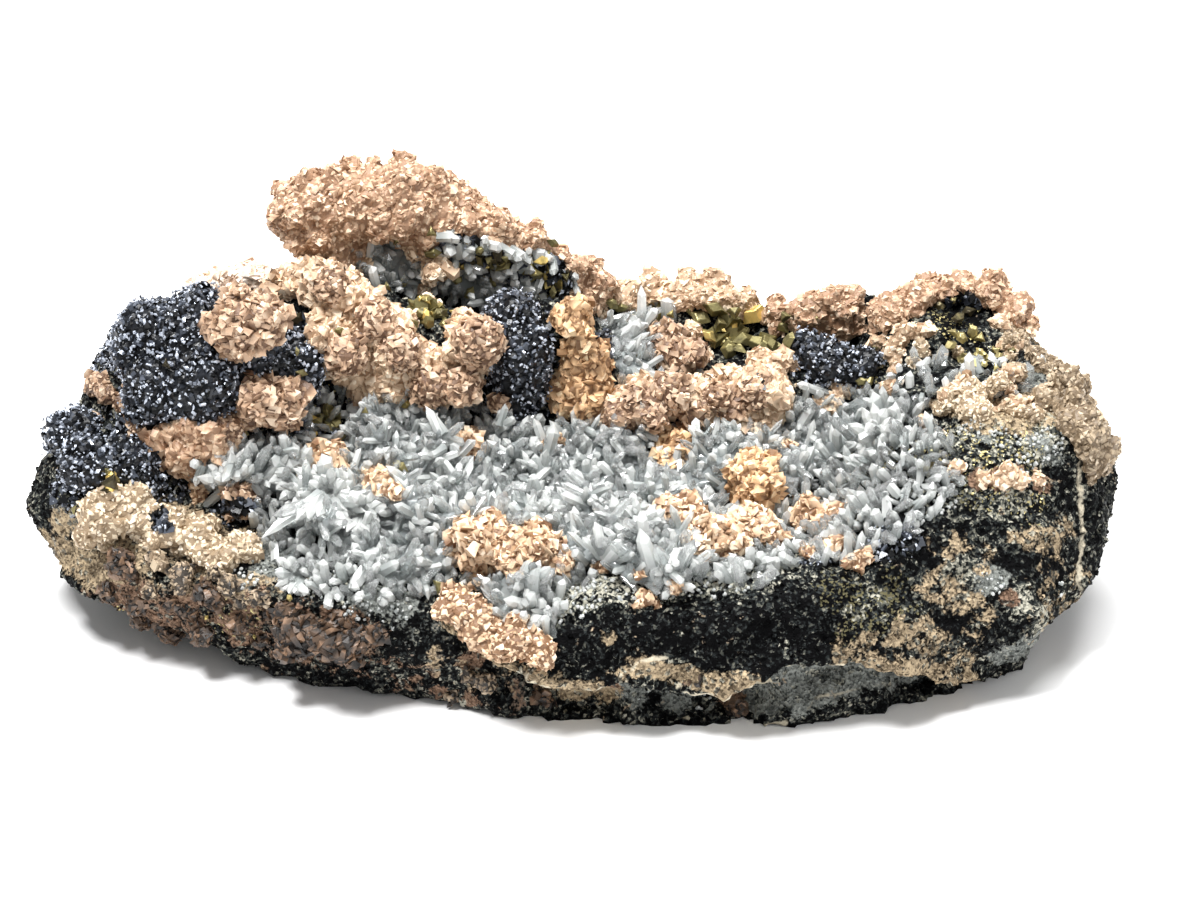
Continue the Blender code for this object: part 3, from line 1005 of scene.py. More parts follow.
def normals_of(mesh: bpy.types.Mesh) -> np.ndarray:
    """The mesh's normals at its points, one a row."""
    normals = np.empty(len(mesh.vertices) * 3, np.float32)
    mesh.vertex_normals.foreach_get("vector", normals)
    return normals.reshape(-1, 3).astype(float)


def set_points(mesh: bpy.types.Mesh, points: np.ndarray) -> None:
    """Moves the mesh's points."""
    mesh.vertices.foreach_set("co", points.astype(np.float32).ravel())
    mesh.update()


def tree_of(meshes: Iterable[bpy.types.Mesh]) -> BVHTree:
    """A search tree over meshes.

    Args:
        meshes: The meshes, in the shared frame.

    Returns:
        The tree.
    """
    bm = bmesh.new()
    for mesh in meshes:
        bm.from_mesh(mesh)
    tree = BVHTree.FromBMesh(bm)
    bm.free()
    return tree


def spread(
    mesh: bpy.types.Mesh,
    spacing_mm: float,
    seed: int,
    keep: Callable[[np.ndarray, np.ndarray], np.ndarray] | None = None,
) -> list[Seat]:
    """Seats spread over a surface, about one for each square of the spacing.

    Args:
        mesh: The surface.
        spacing_mm: The spacing.
        seed: Seed of the random numbers.
        keep: Says which seats are wanted, from their points and their outward ways.

    Returns:
        The seats.
    """
    mesh.calc_loop_triangles()
    corners = np.empty(len(mesh.loop_triangles) * 3, np.int32)
    mesh.loop_triangles.foreach_get("vertices", corners)
    faces = points_of(mesh)[corners.reshape(-1, 3)]
    cross = np.cross(faces[:, 1] - faces[:, 0], faces[:, 2] - faces[:, 0])
    length = np.linalg.norm(cross, axis=1)
    spacing = spacing_mm * MM
    numbers = np.random.default_rng(seed)
    count = int(length.sum() / 2 / spacing**2 * 5) + 1
    chosen = numbers.choice(len(faces), count, p=length / length.sum())
    first, second = numbers.random((2, count, 1))
    flip = first + second > 1
    first, second = np.where(flip, 1 - first, first), np.where(flip, 1 - second, second)
    face = faces[chosen]
    points = face[:, 0] + first * (face[:, 1] - face[:, 0]) + second * (face[:, 2] - face[:, 0])
    outward = cross[chosen] / length[chosen, None]
    if keep is not None:
        wanted = keep(points, outward)
        points, outward = points[wanted], outward[wanted]
    cells = np.floor(points / spacing).astype(np.int64)
    _, once = np.unique(cells, axis=0, return_index=True)
    once.sort()
    return [Seat(Vector(points[i]), Vector(outward[i])) for i in once]


def roughen(obj: bpy.types.Object, kind: str, size_mm: float, depth_mm: float) -> None:
    """Gives an object relief with a Displace modifier.

    Args:
        obj: The object.
        kind: The relief's texture type.
        size_mm: Its size.
        depth_mm: Its depth from lowest to highest.
    """
    texture = bpy.data.textures.new(f"{obj.name}_{kind}", kind)
    texture.noise_scale = size_mm * MM
    modifier = obj.modifiers.new("relief", "DISPLACE")
    modifier.texture = texture
    modifier.texture_coords = "LOCAL"
    modifier.strength = depth_mm * MM
    modifier.mid_level = 0.5


def remesh(obj: bpy.types.Object, size_mm: float) -> None:
    """Gives an object even faces of a size with a Remesh modifier."""
    modifier = obj.modifiers.new("even_faces", "REMESH")
    modifier.mode = "VOXEL"
    modifier.voxel_size = size_mm * MM


def harden(obj: bpy.types.Object) -> None:
    """Applies an object's modifiers."""
    graph = bpy.context.evaluated_depsgraph_get()
    mesh = bpy.data.meshes.new_from_object(obj.evaluated_get(graph))
    old = obj.data
    obj.modifiers.clear()
    obj.data = mesh
    bpy.data.meshes.remove(old)


def shape(obj: bpy.types.Object, size_mm: float, *relief: tuple[str, float, float]) -> None:
    """Gives an object even faces and relief, and applies both.

    Args:
        obj: The object.
        size_mm: Size of the faces.
        relief: Each relief's texture type, size and depth in mm.
    """
    remesh(obj, size_mm)
    for kind, across_mm, depth_mm in relief:
        roughen(obj, kind, across_mm, depth_mm)
    harden(obj)


def height(point: Vector, tree: BVHTree) -> float:
    """How far a point stands out of a surface, less than 0 inside it."""
    near = tree.find_nearest(point)
    return (point - near[0]).dot(near[1])


class Workshop:
    """What every sub-assembly is built with."""

    def __init__(self, nodes: dict[str, bpy.types.Object], chance: random.Random) -> None:
        """Makes the finishes and the casts.

        Args:
            nodes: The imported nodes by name.
            chance: The random numbers.
        """
        self.nodes = nodes
        self.chance = chance
        low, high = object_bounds()
        room = 0.015 * (high - low)
        self.low, self.high = np.array(low - room), np.array(high + room)
        self.low[2] = low.z
        self.block = tree_of([nodes["matrix"].data])
        self.skin = self.block
        self.whole = tree_of([node.data for node in nodes.values()])
        self.ore = OreFinish().make()
        self.looks = {
            look: CarbonateFinish(f"{look.value}_rhodochrosite", *tones).make()
            for look, tones in TONES.items()
        }
        # On the points, the foot colours are painted shade low among them and the tip colours are
        # painted highlights; the grey bed shows its own grey foot colour.
        self.quartz = QuartzFinish(
            "clear_quartz", tint(205, 211, 210), tint(250, 252, 251), 0.82
        ).make()
        self.milk = QuartzFinish(
            "milky_quartz", tint(198, 204, 202), tint(253, 255, 253), 0.5
        ).make()
        self.bed = QuartzFinish(
            "grey_quartz", tint(122, 127, 127), tint(196, 200, 199), 0.0
        ).make()
        self.blende = BlendeFinish().make()
        self.chalcopyrite = BrassyFinish(
            "tarnished_chalcopyrite", tint(236, 206, 124), tint(128, 120, 80), tint(62, 56, 40)
        ).make()
        self.pyrite = BrassyFinish(
            "brassy_pyrite", tint(240, 226, 160), tint(164, 152, 106), tint(64, 58, 44)
        ).make()
        moulds = Moulds(chance)
        self.petals = moulds.casts(12, moulds.petal, lambda co: min(1.0, co.xy.length))
        self.points = moulds.casts(8, moulds.quartz, lambda co: min(1.0, max(0.0, co.z)))
        self.crystals = moulds.casts(6, moulds.blende)
        self.wedges = moulds.casts(9, moulds.wedge)
        self.grains = moulds.casts(8, moulds.grain)

    def copy(self, node: str) -> bpy.types.Object:
        """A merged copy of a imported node's mesh, as a new object.

        Args:
            node: The node's name.

        Returns:
            The object.
        """
        bm = bmesh.new()
        bm.from_mesh(self.nodes[node].data)
        bmesh.ops.remove_doubles(bm, verts=bm.verts, dist=MERGE_M)
        return self.piece(f"{node}_body", mesh_of(bm, f"{node}_body"))

    def seat(self, x: float, y: float, tree: BVHTree | None = None) -> Seat:
        """Where the sight line through a grid step meets the object.

        Args:
            x: Steps from the left.
            y: Steps from the top.
            tree: What it may meet, the ore block unless given.

        Returns:
            The seat, on the nearest surface if the line misses.
        """
        tree = tree or self.block
        direction = sight(x, y)
        point, outward, _, _ = tree.ray_cast(EYE, direction)
        if point is None:
            point, outward, _, _ = tree.find_nearest(EYE + direction * VIEW_DISTANCE)
        return Seat(point, outward)

    def inside(self, point: Vector, margin: float) -> Vector:
        """A point moved so far into the object's box that a margin round it is inside."""
        return Vector(np.clip(np.array(point), self.low + margin, self.high - margin))

    def in_air(self, seat: Seat, reach_mm: float = 5.0) -> bool:
        """Whether nothing stands in front of a seat.

        Args:
            seat: The seat.
            reach_mm: How far out is tested.

        Returns:
            True if the way out is free.
        """
        start = seat.point + seat.outward * (0.7 * MM)
        hit = self.whole.ray_cast(start, seat.outward, reach_mm * MM)
        return hit[0] is None

    def deliver(
        self,
        obj: bpy.types.Object,
        materials: Sequence[bpy.types.Material],
        replaced: Sequence[str] = (),
    ) -> None:
        """Keeps a piece inside the object's box, dresses it and hands it to the frame.

        Args:
            obj: The piece.
            materials: Its materials in order.
            replaced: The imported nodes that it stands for.
        """
        points = np.clip(points_of(obj.data), self.low, self.high)
        set_points(obj.data, points)
        for material in materials:
            obj.data.materials.append(material)
        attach(obj, BODY)
        if replaced:
            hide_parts(*replaced)
        obj.data.calc_loop_triangles()
        LOG.info("%s: %d triangles", obj.name, len(obj.data.loop_triangles))

    def piece(self, name: str, mesh: bpy.types.Mesh) -> bpy.types.Object:
        """A new object at the origin that holds a mesh."""
        obj = bpy.data.objects.new(name, mesh)
        bpy.context.scene.collection.objects.link(obj)
        return obj


def write_zones(mesh: bpy.types.Mesh, weights: dict[Zone, np.ndarray]) -> None:
    """Stores how much of each zone's skin shows at each point of a mesh.

    Args:
        mesh: The mesh.
        weights: A number from 0 to 1 for each point, for each zone.
    """
    for zone, numbers in weights.items():
        store(mesh, zone.value, numbers)


@dataclass(frozen=True)
class Vein:
    """A streak of one kind of skin along the block's show side.

    Attributes:
        zone: The kind of skin.
        width_mm: Half its width.
        line: Its middle line on the grid.
        strength: How much of the skin shows, from 0 to 1.
    """

    zone: Zone
    width_mm: float
    line: tuple[tuple[float, float], ...]
    strength: float = 1.0

    def weights(self, places: np.ndarray) -> np.ndarray:
        """How much of it shows at some grid places.

        Args:
            places: The places, one a row.

        Returns:
            A number from 0 to 1 for each place.
        """
        line = np.array(self.line, float)
        least = np.full(len(places), np.inf)
        for start, end in zip(line[:-1], line[1:]):
            along = end - start
            share = np.clip((places - start) @ along / (along @ along), 0, 1)
            away = np.linalg.norm(places - start - share[:, None] * along, axis=1)
            least = np.minimum(least, away)
        away_mm = least * GRID_STEP / MM
        return self.strength * np.clip(1.5 - away_mm / self.width_mm, 0, 1)


@dataclass
class OreBlock:
    """The block of ore that everything grows on.

    Attributes:
        face_mm: Size of its faces.
        ledge: Grid places of the overhanging lip along its front.
        lip_mm: How far the lip stands out.
        recess_mm: How far the rock below it is cut back.
        grit_mm: Radius of the largest grains on it.
        grit_spacing_mm: How far apart they lie.
        zones: For each kind of skin, its spots as (x, y, radius in mm) on the grid.
        behind: The same on the sides and back, as (x, y, z, radius) in mm.
        veins: Streaks of skin along the show side.
        dips: Where its top is lowered, as x, y, z, radius and depth in mm.
    """

    face_mm: float = 0.88
    ledge: tuple[tuple[float, float], ...] = (
        (430, 620), (470, 642), (500, 662), (530, 677), (560, 685), (600, 688), (622, 681),
        (650, 688), (690, 692), (725, 690), (765, 680), (785, 664), (860, 660), (900, 672),
        (960, 680), (1000, 676),
    )
    lip_mm: float = 1.6
    recess_mm: float = 4.2
    grit_mm: float = 0.62
    grit_spacing_mm: float = 1.45
    dips: tuple[tuple[float, float, float, float, float], ...] = (
        (31.0, 40.5, 33.0, 6.0, 3.6), (37.0, 39.0, 34.0, 5.0, 2.4),
    )
    zones: dict[Zone, list[Spot]] = field(default_factory=dict)
    behind: dict[Zone, list[tuple[float, float, float, float]]] = field(default_factory=dict)
    veins: tuple[Vein, ...] = ()

    def centres(self, shop: Workshop) -> dict[Zone, list[tuple[Vector, float]]]:
        """Seats the zones' spots on the block.

        Args:
            shop: The workshop.

        Returns:
            Each spot's middle and radius in metres.
        """
        found: dict[Zone, list[tuple[Vector, float]]] = {}
        for zone in Zone:
            spots = [
                (shop.seat(x, y).point, radius * MM) for x, y, radius in self.zones.get(zone, [])
            ]
            spots += [
                (Vector((x, y, z)) * MM, radius * MM)
                for x, y, z, radius in self.behind.get(zone, [])
            ]
            found[zone] = spots
        return found

    def weights(
        self, centres: dict[Zone, list[tuple[Vector, float]]], mesh: bpy.types.Mesh
    ) -> dict[Zone, np.ndarray]:
        """How much of each zone's skin shows at a mesh's points.

        Args:
            centres: The seated spots.
            mesh: The mesh.

        Returns:
            A number from 0 to 1 for each point, for each zone.
        """
        points = points_of(mesh)
        places = on_grid(points)
        shown = normals_of(mesh) @ np.array(VIEW_BACK) > 0.0
        result = {}
        for zone, spots in centres.items():
            most = np.zeros(len(points))
            for middle, radius in spots:
                away = np.linalg.norm(points - np.array(middle), axis=1) / radius
                most = np.maximum(most, np.clip(1.5 - away, 0, 1))
            for vein in self.veins:
                if vein.zone is zone:
                    most = np.maximum(most, vein.weights(places) * shown)
            result[zone] = most
        return result

    def carve_ledge(self, mesh: bpy.types.Mesh) -> None:
        """Pushes the lip out along the front and cuts the rock below it back.

        Args:
            mesh: The block's mesh.
        """
        points, normals = points_of(mesh), normals_of(mesh)
        places = on_grid(points)
        line = np.array(self.ledge, float)
        above = (np.interp(places[:, 0], line[:, 0], line[:, 1]) - places[:, 1]) * GRID_MM
        ends = np.clip((places[:, 0] - line[0, 0]) / 30, 0, 1) * np.clip(
            (line[-1, 0] - places[:, 0]) / 30, 0, 1
        )
        facing = np.clip(-normals[:, 1] * 2.5, 0, 1) * ends
        lip = self.lip_mm * np.exp(-(((above - 0.9) / 1.2) ** 2))
        recess = self.recess_mm * np.clip(-above / 0.5, 0, 1) * np.clip((7 + above) / 3.5, 0, 1)
        way = normals * np.array([1, 1, 0.2])
        way /= np.linalg.norm(way, axis=1, keepdims=True) + LEAST_LENGTH
        set_points(mesh, points + way * ((lip - recess) * facing * MM)[:, None])

    def build(self, shop: Workshop) -> bpy.types.Object:
        """Builds the block.

        Args:
            shop: The workshop.

        Returns:
            The finished piece.
        """
        obj = shop.copy("matrix")
        obj.name = "ore_block"
        shape(obj, self.face_mm)
        weights = self.weights(self.centres(shop), obj.data)
        self.carve_ledge(obj.data)
        roughen(obj, "CLOUDS", 9.0, 2.0)
        roughen(obj, "CLOUDS", 2.6, 1.3)
        roughen(obj, "VORONOI", 1.5, 1.0)
        harden(obj)
        points = points_of(obj.data)
        for x, y, z, radius, depth in self.dips:
            away = np.linalg.norm(points - np.array((x, y, z)) * MM, axis=1) / (radius * MM)
            points[:, 2] -= depth * MM * np.clip(1.3 - away, 0, 1)
        set_points(obj.data, points)
        for polygon in obj.data.polygons:
            polygon.use_smooth = True
        store(obj.data, "shade", np.full(len(obj.data.vertices), 0.5))
        write_zones(obj.data, weights)
        shop.deliver(obj, [shop.ore], ["matrix"])
        shop.skin = tree_of([obj.data])
        return obj

    def grit(self, shop: Workshop, block: bpy.types.Object) -> None:
        """Scatters broken grains over the block's open faces.

        Args:
            shop: The workshop.
            block: The finished block.
        """
        skin = KDTree(len(block.data.vertices))
        for vert in block.data.vertices:
            skin.insert(vert.co, vert.index)
        skin.balance()
        weights = {}
        for zone in Zone:
            values = np.empty(len(block.data.vertices), np.float32)
            block.data.attributes[zone.value].data.foreach_get("value", values)
            weights[zone] = values
        smooth = weights[Zone.TAN] + weights[Zone.GREY] + weights[Zone.EDGE] * 2
        cluster = Cluster()
        for seat in spread(block.data, self.grit_spacing_mm, SEED):
            if seat.point.z < 1.2 * MM or not shop.in_air(seat):
                continue
            if smooth[skin.find(seat.point)[1]] > 0.4 + 0.9 * shop.chance.random():
                continue
            size = self.grit_mm * (0.35 + 0.65 * shop.chance.random() ** 2) * MM
            scale = [size * shop.chance.uniform(0.6, 1.2) for _ in range(3)]
            ahead = leaning(seat.outward, 0.5, shop.chance)
            cluster.plant(shop.grains, seat.point, ahead, scale, shop.chance)
        mesh = cluster.mesh("ore_grains")
        nearest = [skin.find(vert.co)[1] for vert in mesh.vertices]
        write_zones(mesh, {zone: values[nearest] for zone, values in weights.items()})
        shop.deliver(shop.piece("ore_grains", mesh), [shop.ore])


def add_plates(
    cluster: Cluster, body: bpy.types.Mesh, petal_mm: float, spacing_mm: float, seed: int,
    shop: Workshop, tilts: tuple[float, float] = (0.45, 1.3),
) -> None:
    """Crowds plates of rhodochrosite onto a body.

    Args:
        cluster: The mesh that they are joined into.
        body: The body.
        petal_mm: Radius of the largest plates.
        spacing_mm: How far apart they stand.
        seed: Seed of their places.
        shop: The workshop.
        tilts: The least and the most that they are tilted off the body, in radians.
    """
    chance = shop.chance
    seats = spread(body, spacing_mm, seed)
    pockets = pockets_at(np.array([seat.point for seat in seats]))
    for seat, pocket in zip(seats, pockets):
        near = shop.skin.find_nearest(seat.point)
        offset = seat.point - near[0]
        if offset.dot(near[1]) < min(-0.2 * MM, -0.75 * offset.length):
            continue
        if seat.outward.dot(VIEW_BACK) < -0.3 and chance.random() < 0.4:
            continue
        if pocket:
            POCKETS[pocket - 1].fill(cluster, seat, shop)
            continue
        size = petal_mm * (0.42 + 0.58 * chance.random() ** 1.5) * MM
        across = leaning(seat.outward, 3.0, chance).cross(seat.outward).normalized()
        tilt = chance.uniform(*tilts)
        ahead = seat.outward * math.cos(tilt) + across * math.sin(tilt)
        scale = (size * chance.uniform(0.8, 1.2), size, size * chance.uniform(0.8, 1.3))
        point = seat.point - seat.outward * size * chance.uniform(0.1, 0.45)
        point = shop.inside(point, size * 0.9)
        place = stance(point, ahead, scale, chance.uniform(0, math.tau))
        cast = chance.choice(shop.petals)
        corners = points_of(cast.mesh) @ np.array(place.to_3x3()).T + np.array(place.translation)
        height = (corners - np.array(seat.point)) @ np.array(seat.outward) / size
        # The rim value grows with height above the body, so the finish paints shade low in the
        # creases and a highlight at the plates' outer edges.
        cluster.add(cast, place, chance.random(), 0, np.clip(height * 1.4 + 0.48, 0, 1))


@dataclass(frozen=True)
class Pocket:
    """A dark pocket that opens in a crust, lined with sphalerite and other crystals.

    Attributes:
        outline: Its outline on the grid.
        quartz: The share of its crystals that is quartz.
        brassy: The share that is chalcopyrite.
        brassy_mm: Radius of the smallest and the largest of those.
    """

    outline: tuple[tuple[float, float], ...]
    quartz: float = 0.0
    brassy: float = 0.0
    brassy_mm: tuple[float, float] = (0.8, 1.8)

    def fill(self, cluster: Cluster, seat: Seat, shop: Workshop) -> None:
        """Joins one of its crystals.

        Args:
            cluster: The mesh that it is joined into.
            seat: Where it stands.
            shop: The workshop.
        """
        chance = shop.chance
        kind = chance.random()
        ahead = leaning(seat.outward, 0.9, chance)
        if kind < self.quartz:
            length, width = chance.uniform(2.2, 3.6), chance.uniform(1.5, 2.4)
            foot = seat.point - ahead * 0.5 * MM
            add_point(cluster, foot, ahead, length, width, shop, Lining.QUARTZ.value)
        elif kind < self.quartz + self.brassy:
            size = chance.uniform(*self.brassy_mm) * MM
            cluster.plant(
                shop.wedges, seat.point, ahead, (size,) * 3, chance, DULL, Lining.BRASSY.value
            )
        else:
            add_crystal(cluster, seat, 1.1, shop, Lining.BLENDE.value)
            if chance.random() < 0.4:
                add_painted_glint(cluster, seat, shop, Lining.BLENDE.value)


def pockets_at(points: np.ndarray) -> np.ndarray:
    """Which pocket points lie in.

    Args:
        points: The points, one a row, in metres.

    Returns:
        The pocket's number for each point, from 1, or 0 outside them all.
    """
    found = np.zeros(len(points), np.int32)
    if len(points):
        places = on_grid(points)
        for number, pocket in enumerate(POCKETS, 1):
            found[within(places, pocket.outline)] = number
    return found


def crumple(mesh: bpy.types.Mesh, amount_mm: float) -> None:
    """Moves each point of a body a little at random, so that it is sugary between its plates.

    Args:
        mesh: The body.
        amount_mm: The farthest that a point moves along each axis.
    """
    points = points_of(mesh)
    noise = np.random.default_rng(len(points))
    set_points(mesh, points + noise.uniform(-amount_mm, amount_mm, points.shape) * MM)


def add_knobs(
    body: bpy.types.Object, share: float, radius_mm: tuple[float, float], shop: Workshop
) -> None:
    """Joins small balls to a body, so that its outline is uneven.

    Args:
        body: The body.
        share: How many of the possible places are taken.
        radius_mm: The smallest and the largest radius.
        shop: The workshop.
    """
    chance = shop.chance
    seats = spread(body.data, 3.0, 3)
    bm = bmesh.new()
    bm.from_mesh(body.data)
    for seat in seats:
        if chance.random() < share:
            radius = chance.uniform(*radius_mm) * MM
            middle = seat.point + seat.outward * radius * chance.uniform(-0.7, 0.1)
            middle = shop.inside(middle, radius)
            place = Matrix.Translation(middle)
            bmesh.ops.create_icosphere(bm, subdivisions=2, radius=radius, matrix=place)
    bm.to_mesh(body.data)
    bm.free()


@dataclass
class Crust:
    """A crust, lobe or rosette of rhodochrosite: crowded plates on a lumpy body.

    Attributes:
        node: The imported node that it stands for.
        look: Its tone.
        petal_mm: Radius of its largest plates.
        spacing_mm: How far apart they stand.
        knobs: How crowded its knobs are.
        knob_mm: Smallest and largest radius of its knobs.
    """

    node: str
    look: Look = Look.PEACH
    petal_mm: float = 1.5
    spacing_mm: float = 0.85
    knobs: float = 0.35
    knob_mm: tuple[float, float] = (1.3, 2.2)

    def build(self, shop: Workshop) -> None:
        """Builds the piece.

        Args:
            shop: The workshop.
        """
        obj = shop.copy(self.node)
        add_knobs(obj, self.knobs, self.knob_mm, shop)
        shape(obj, 0.8, ("CLOUDS", 5.0, 2.0), ("CLOUDS", 2.2, 2.4))
        crumple(obj.data, 0.22)
        centres = np.array([polygon.center for polygon in obj.data.polygons])
        bare = np.minimum(pockets_at(centres), 1)
        for _ in range(3):
            obj.data.materials.append(shop.blende)
        obj.data.polygons.foreach_set("material_index", bare)
        cluster = Cluster(obj.data)
        tilts = (0.45, 1.3) if "rosette" in self.node else (0.15, 1.0)
        add_plates(
            cluster, obj.data, self.petal_mm, self.spacing_mm, len(self.node), shop, tilts
        )
        obj.data = cluster.mesh(self.node)
        obj.name = f"{self.node}_plates"
        shop.deliver(
            obj,
            [shop.looks[self.look], shop.blende, shop.milk, shop.chalcopyrite], [self.node],
        )


@dataclass
class Crumbs:
    """Small lumps of rhodochrosite that stand on the block by themselves.

    Attributes:
        name: The piece's name.
        look: Their tone.
        spots: Each lump as (x, y, radius in mm).
        petal_mm: Radius of their largest plates.
        spacing_mm: How far apart the plates stand.
        balls: How many balls make up each lump.
    """

    name: str
    look: Look
    spots: list[Spot]
    petal_mm: float = 1.0
    spacing_mm: float = 0.78
    balls: int = 3

    def build(self, shop: Workshop, ground: BVHTree) -> None:
        """Builds the piece.

        Args:
            shop: The workshop.
            ground: What the lumps stand on.
        """
        chance = shop.chance
        bm = bmesh.new()
        for x, y, radius in self.spots:
            seat = shop.seat(x, y, ground)
            for _ in range(self.balls):
                size = radius * chance.uniform(0.55, 0.85) * MM
                shift = Vector([chance.uniform(-0.4, 0.4) * radius * MM for _ in range(3)])
                if self.balls == 1:
                    size, shift = radius * MM, Vector()
                place = Matrix.Translation(seat.point + shift + seat.outward * size * 0.1)
                bmesh.ops.create_icosphere(bm, subdivisions=2, radius=size, matrix=place)
        obj = shop.piece(self.name, mesh_of(bm, f"{self.name}_body"))
        shape(obj, 0.75, ("CLOUDS", 1.8, 1.2))
        crumple(obj.data, 0.18)
        cluster = Cluster(obj.data)
        add_plates(cluster, obj.data, self.petal_mm, self.spacing_mm, len(self.name), shop)
        obj.data = cluster.mesh(self.name)
        shop.deliver(obj, [shop.looks[self.look]])


@dataclass
class BlackMass:
    """A mass of sphalerite: small crowded crystals on a lumpy body.

    Attributes:
        node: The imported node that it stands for.
        crystal_mm: Radius of its largest crystals.
    """

    node: str
    crystal_mm: float = 0.8

    def build(self, shop: Workshop) -> None:
        """Builds the piece.

        Args:
            shop: The workshop.
        """
        obj = shop.copy(self.node)
        shape(obj, 0.6, ("CLOUDS", 3.0, 1.6), ("VORONOI", 1.6, 0.8))
        cluster = Cluster(obj.data)
        for seat in spread(obj.data, 1.0, len(self.node)):
            if height(seat.point, shop.skin) < -0.1 * MM:
                continue
            add_crystal(cluster, seat, self.crystal_mm, shop)
            for _ in range(shop.chance.choice((1, 1, 2, 2))):
                add_painted_glint(cluster, seat, shop)
        obj.data = cluster.mesh(self.node)
        obj.name = f"{self.node}_crystals"
        shop.deliver(obj, [shop.blende], [self.node])


def add_crystal(
    cluster: Cluster, seat: Seat, most_mm: float, shop: Workshop, material: int = 0
) -> None:
    """Joins one sphalerite crystal.

    Args:
        cluster: The mesh that it is joined into.
        seat: Where it stands.
        most_mm: Radius of the largest.
        shop: The workshop.
        material: The number of its material.
    """
    chance = shop.chance
    size = most_mm * chance.uniform(0.45, 1.0) * MM
    ahead = leaning(seat.outward, 0.9, chance)
    scale = (size, size, size)
    cluster.plant(shop.crystals, seat.point, ahead, scale, chance, material=material)


def add_painted_glint(cluster: Cluster, seat: Seat, shop: Workshop, material: int = 0) -> None:
    """Joins one tiny face between sphalerite crystals, which the finish colours near-white as a
    painted glint.

    Args:
        cluster: The mesh that it is joined into.
        seat: Where it stands.
        shop: The workshop.
        material: The number of its material.
    """
    chance = shop.chance
    size = (0.1 + 0.24 * chance.random() ** 1.6) * MM
    slip = Vector([chance.uniform(-0.4, 0.4) for _ in range(3)]) * MM
    point = seat.point + slip + seat.outward * 0.5 * MM
    ahead = leaning(seat.outward, 0.6, chance)
    scale = (size * chance.uniform(1.1, 2.2), size, size * 0.8)
    cluster.plant(shop.grains, point, ahead, scale, chance, GLINT_TONES, material)


def add_point(
    cluster: Cluster, foot: Vector, ahead: Vector, length_mm: float, width_mm: float,
    shop: Workshop, material: int = 0,
) -> None:
    """Joins one quartz point.

    Args:
        cluster: The mesh that it is joined into.
        foot: Where it stands.
        ahead: Where it points.
        length_mm: Its length.
        width_mm: Its width.
        shop: The workshop.
        material: The number of its material.
    """
    chance = shop.chance
    scale = (width_mm * chance.uniform(0.8, 1.2) * MM, width_mm * MM, length_mm * MM)
    cluster.plant(shop.points, foot, ahead, scale, chance, material=material)


@dataclass(frozen=True)
class Growth:
    """How crowded quartz points grow.

    Attributes:
        power: How much rarer long points are than short ones.
        rise: Added to the way out of the surface that they grow on.
        first: The number of the clear material, with the milky one after it.
        length_mm: Shortest and longest point.
        width_mm: Narrowest and widest point.
        spacing_mm: How far apart they stand.
        lean: How far they lean.
        milky: The share of them that is milky.
    """

    power: float
    rise: tuple[float, float, float]
    first: int
    length_mm: tuple[float, float] = (2.4, 5.0)
    width_mm: tuple[float, float] = (1.1, 1.9)
    spacing_mm: float = 1.45
    lean: float = 0.5
    milky: float = 0.45

    def grow(self, cluster: Cluster, seat: Seat, shorter: float, shop: Workshop) -> None:
        """Joins one point.

        Args:
            cluster: The mesh that it is joined into.
            seat: Where it stands.
            shorter: What its length is divided by.
            shop: The workshop.
        """
        chance = shop.chance
        (short, long), (narrow, wide) = self.length_mm, self.width_mm
        length = (short + chance.random() ** self.power * (long - short)) / shorter
        width = narrow + chance.random() * (wide - narrow)
        ahead = leaning(seat.outward + Vector(self.rise), self.lean, chance)
        kind = self.first + (chance.random() < self.milky)
        add_point(cluster, seat.point - ahead * MM, ahead, length, width, shop, kind)


@dataclass
class QuartzCrust:
    """A crust of quartz points on a granular bed.

    Attributes:
        node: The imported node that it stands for.
        growth: How its points grow.
    """

    node: str
    growth: Growth = Growth(1.4, (0, 0, 0.4), 1)

    def build(self, shop: Workshop) -> None:
        """Builds the piece.

        Args:
            shop: The workshop.
        """
        obj = shop.copy(self.node)
        shape(obj, 0.8, ("CLOUDS", 1.5, 0.8))
        for polygon in obj.data.polygons:
            polygon.use_smooth = True
        cluster = Cluster(obj.data)
        sparse = 1.35 if "right" in self.node else 1.0
        for seat in spread(obj.data, self.growth.spacing_mm * sparse, len(self.node)):
            if height(seat.point, shop.block) >= 0.5 * MM:
                self.growth.grow(cluster, seat, sparse, shop)
        obj.data = cluster.mesh(self.node)
        obj.name = f"{self.node}_points"
        bed = shop.ore if "right" in self.node else shop.bed
        shop.deliver(obj, [bed, shop.quartz, shop.milk], [self.node])


@dataclass
class BrassyCluster:
    """A cluster of chalcopyrite or pyrite.

    Attributes:
        node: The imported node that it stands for.
        slot: Chalcopyrite or pyrite.
        crystal_mm: Radius of its largest crystals.
        count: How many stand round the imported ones.
    """

    node: str
    slot: Slot = Slot.CHALCOPYRITE
    crystal_mm: float = 1.5
    count: int = 14

    def build(self, shop: Workshop) -> None:
        """Builds the piece.

        Args:
            shop: The workshop.
        """
        chance = shop.chance
        body = shop.copy(self.node)
        cluster = Cluster(body.data)
        seats = spread(body.data, 1.2, 5)
        chance.shuffle(seats)
        for seat in seats[: self.count]:
            size = self.crystal_mm * chance.uniform(0.4, 1.0) * MM
            ahead = leaning(seat.outward, 0.7, chance)
            cluster.plant(shop.wedges, seat.point, ahead, (size,) * 3, chance)
        body.data = cluster.mesh(self.node)
        body.name = f"{self.node}_crystals"
        material = shop.pyrite if self.slot is Slot.PYRITE else shop.chalcopyrite
        shop.deliver(body, [material], [self.node])


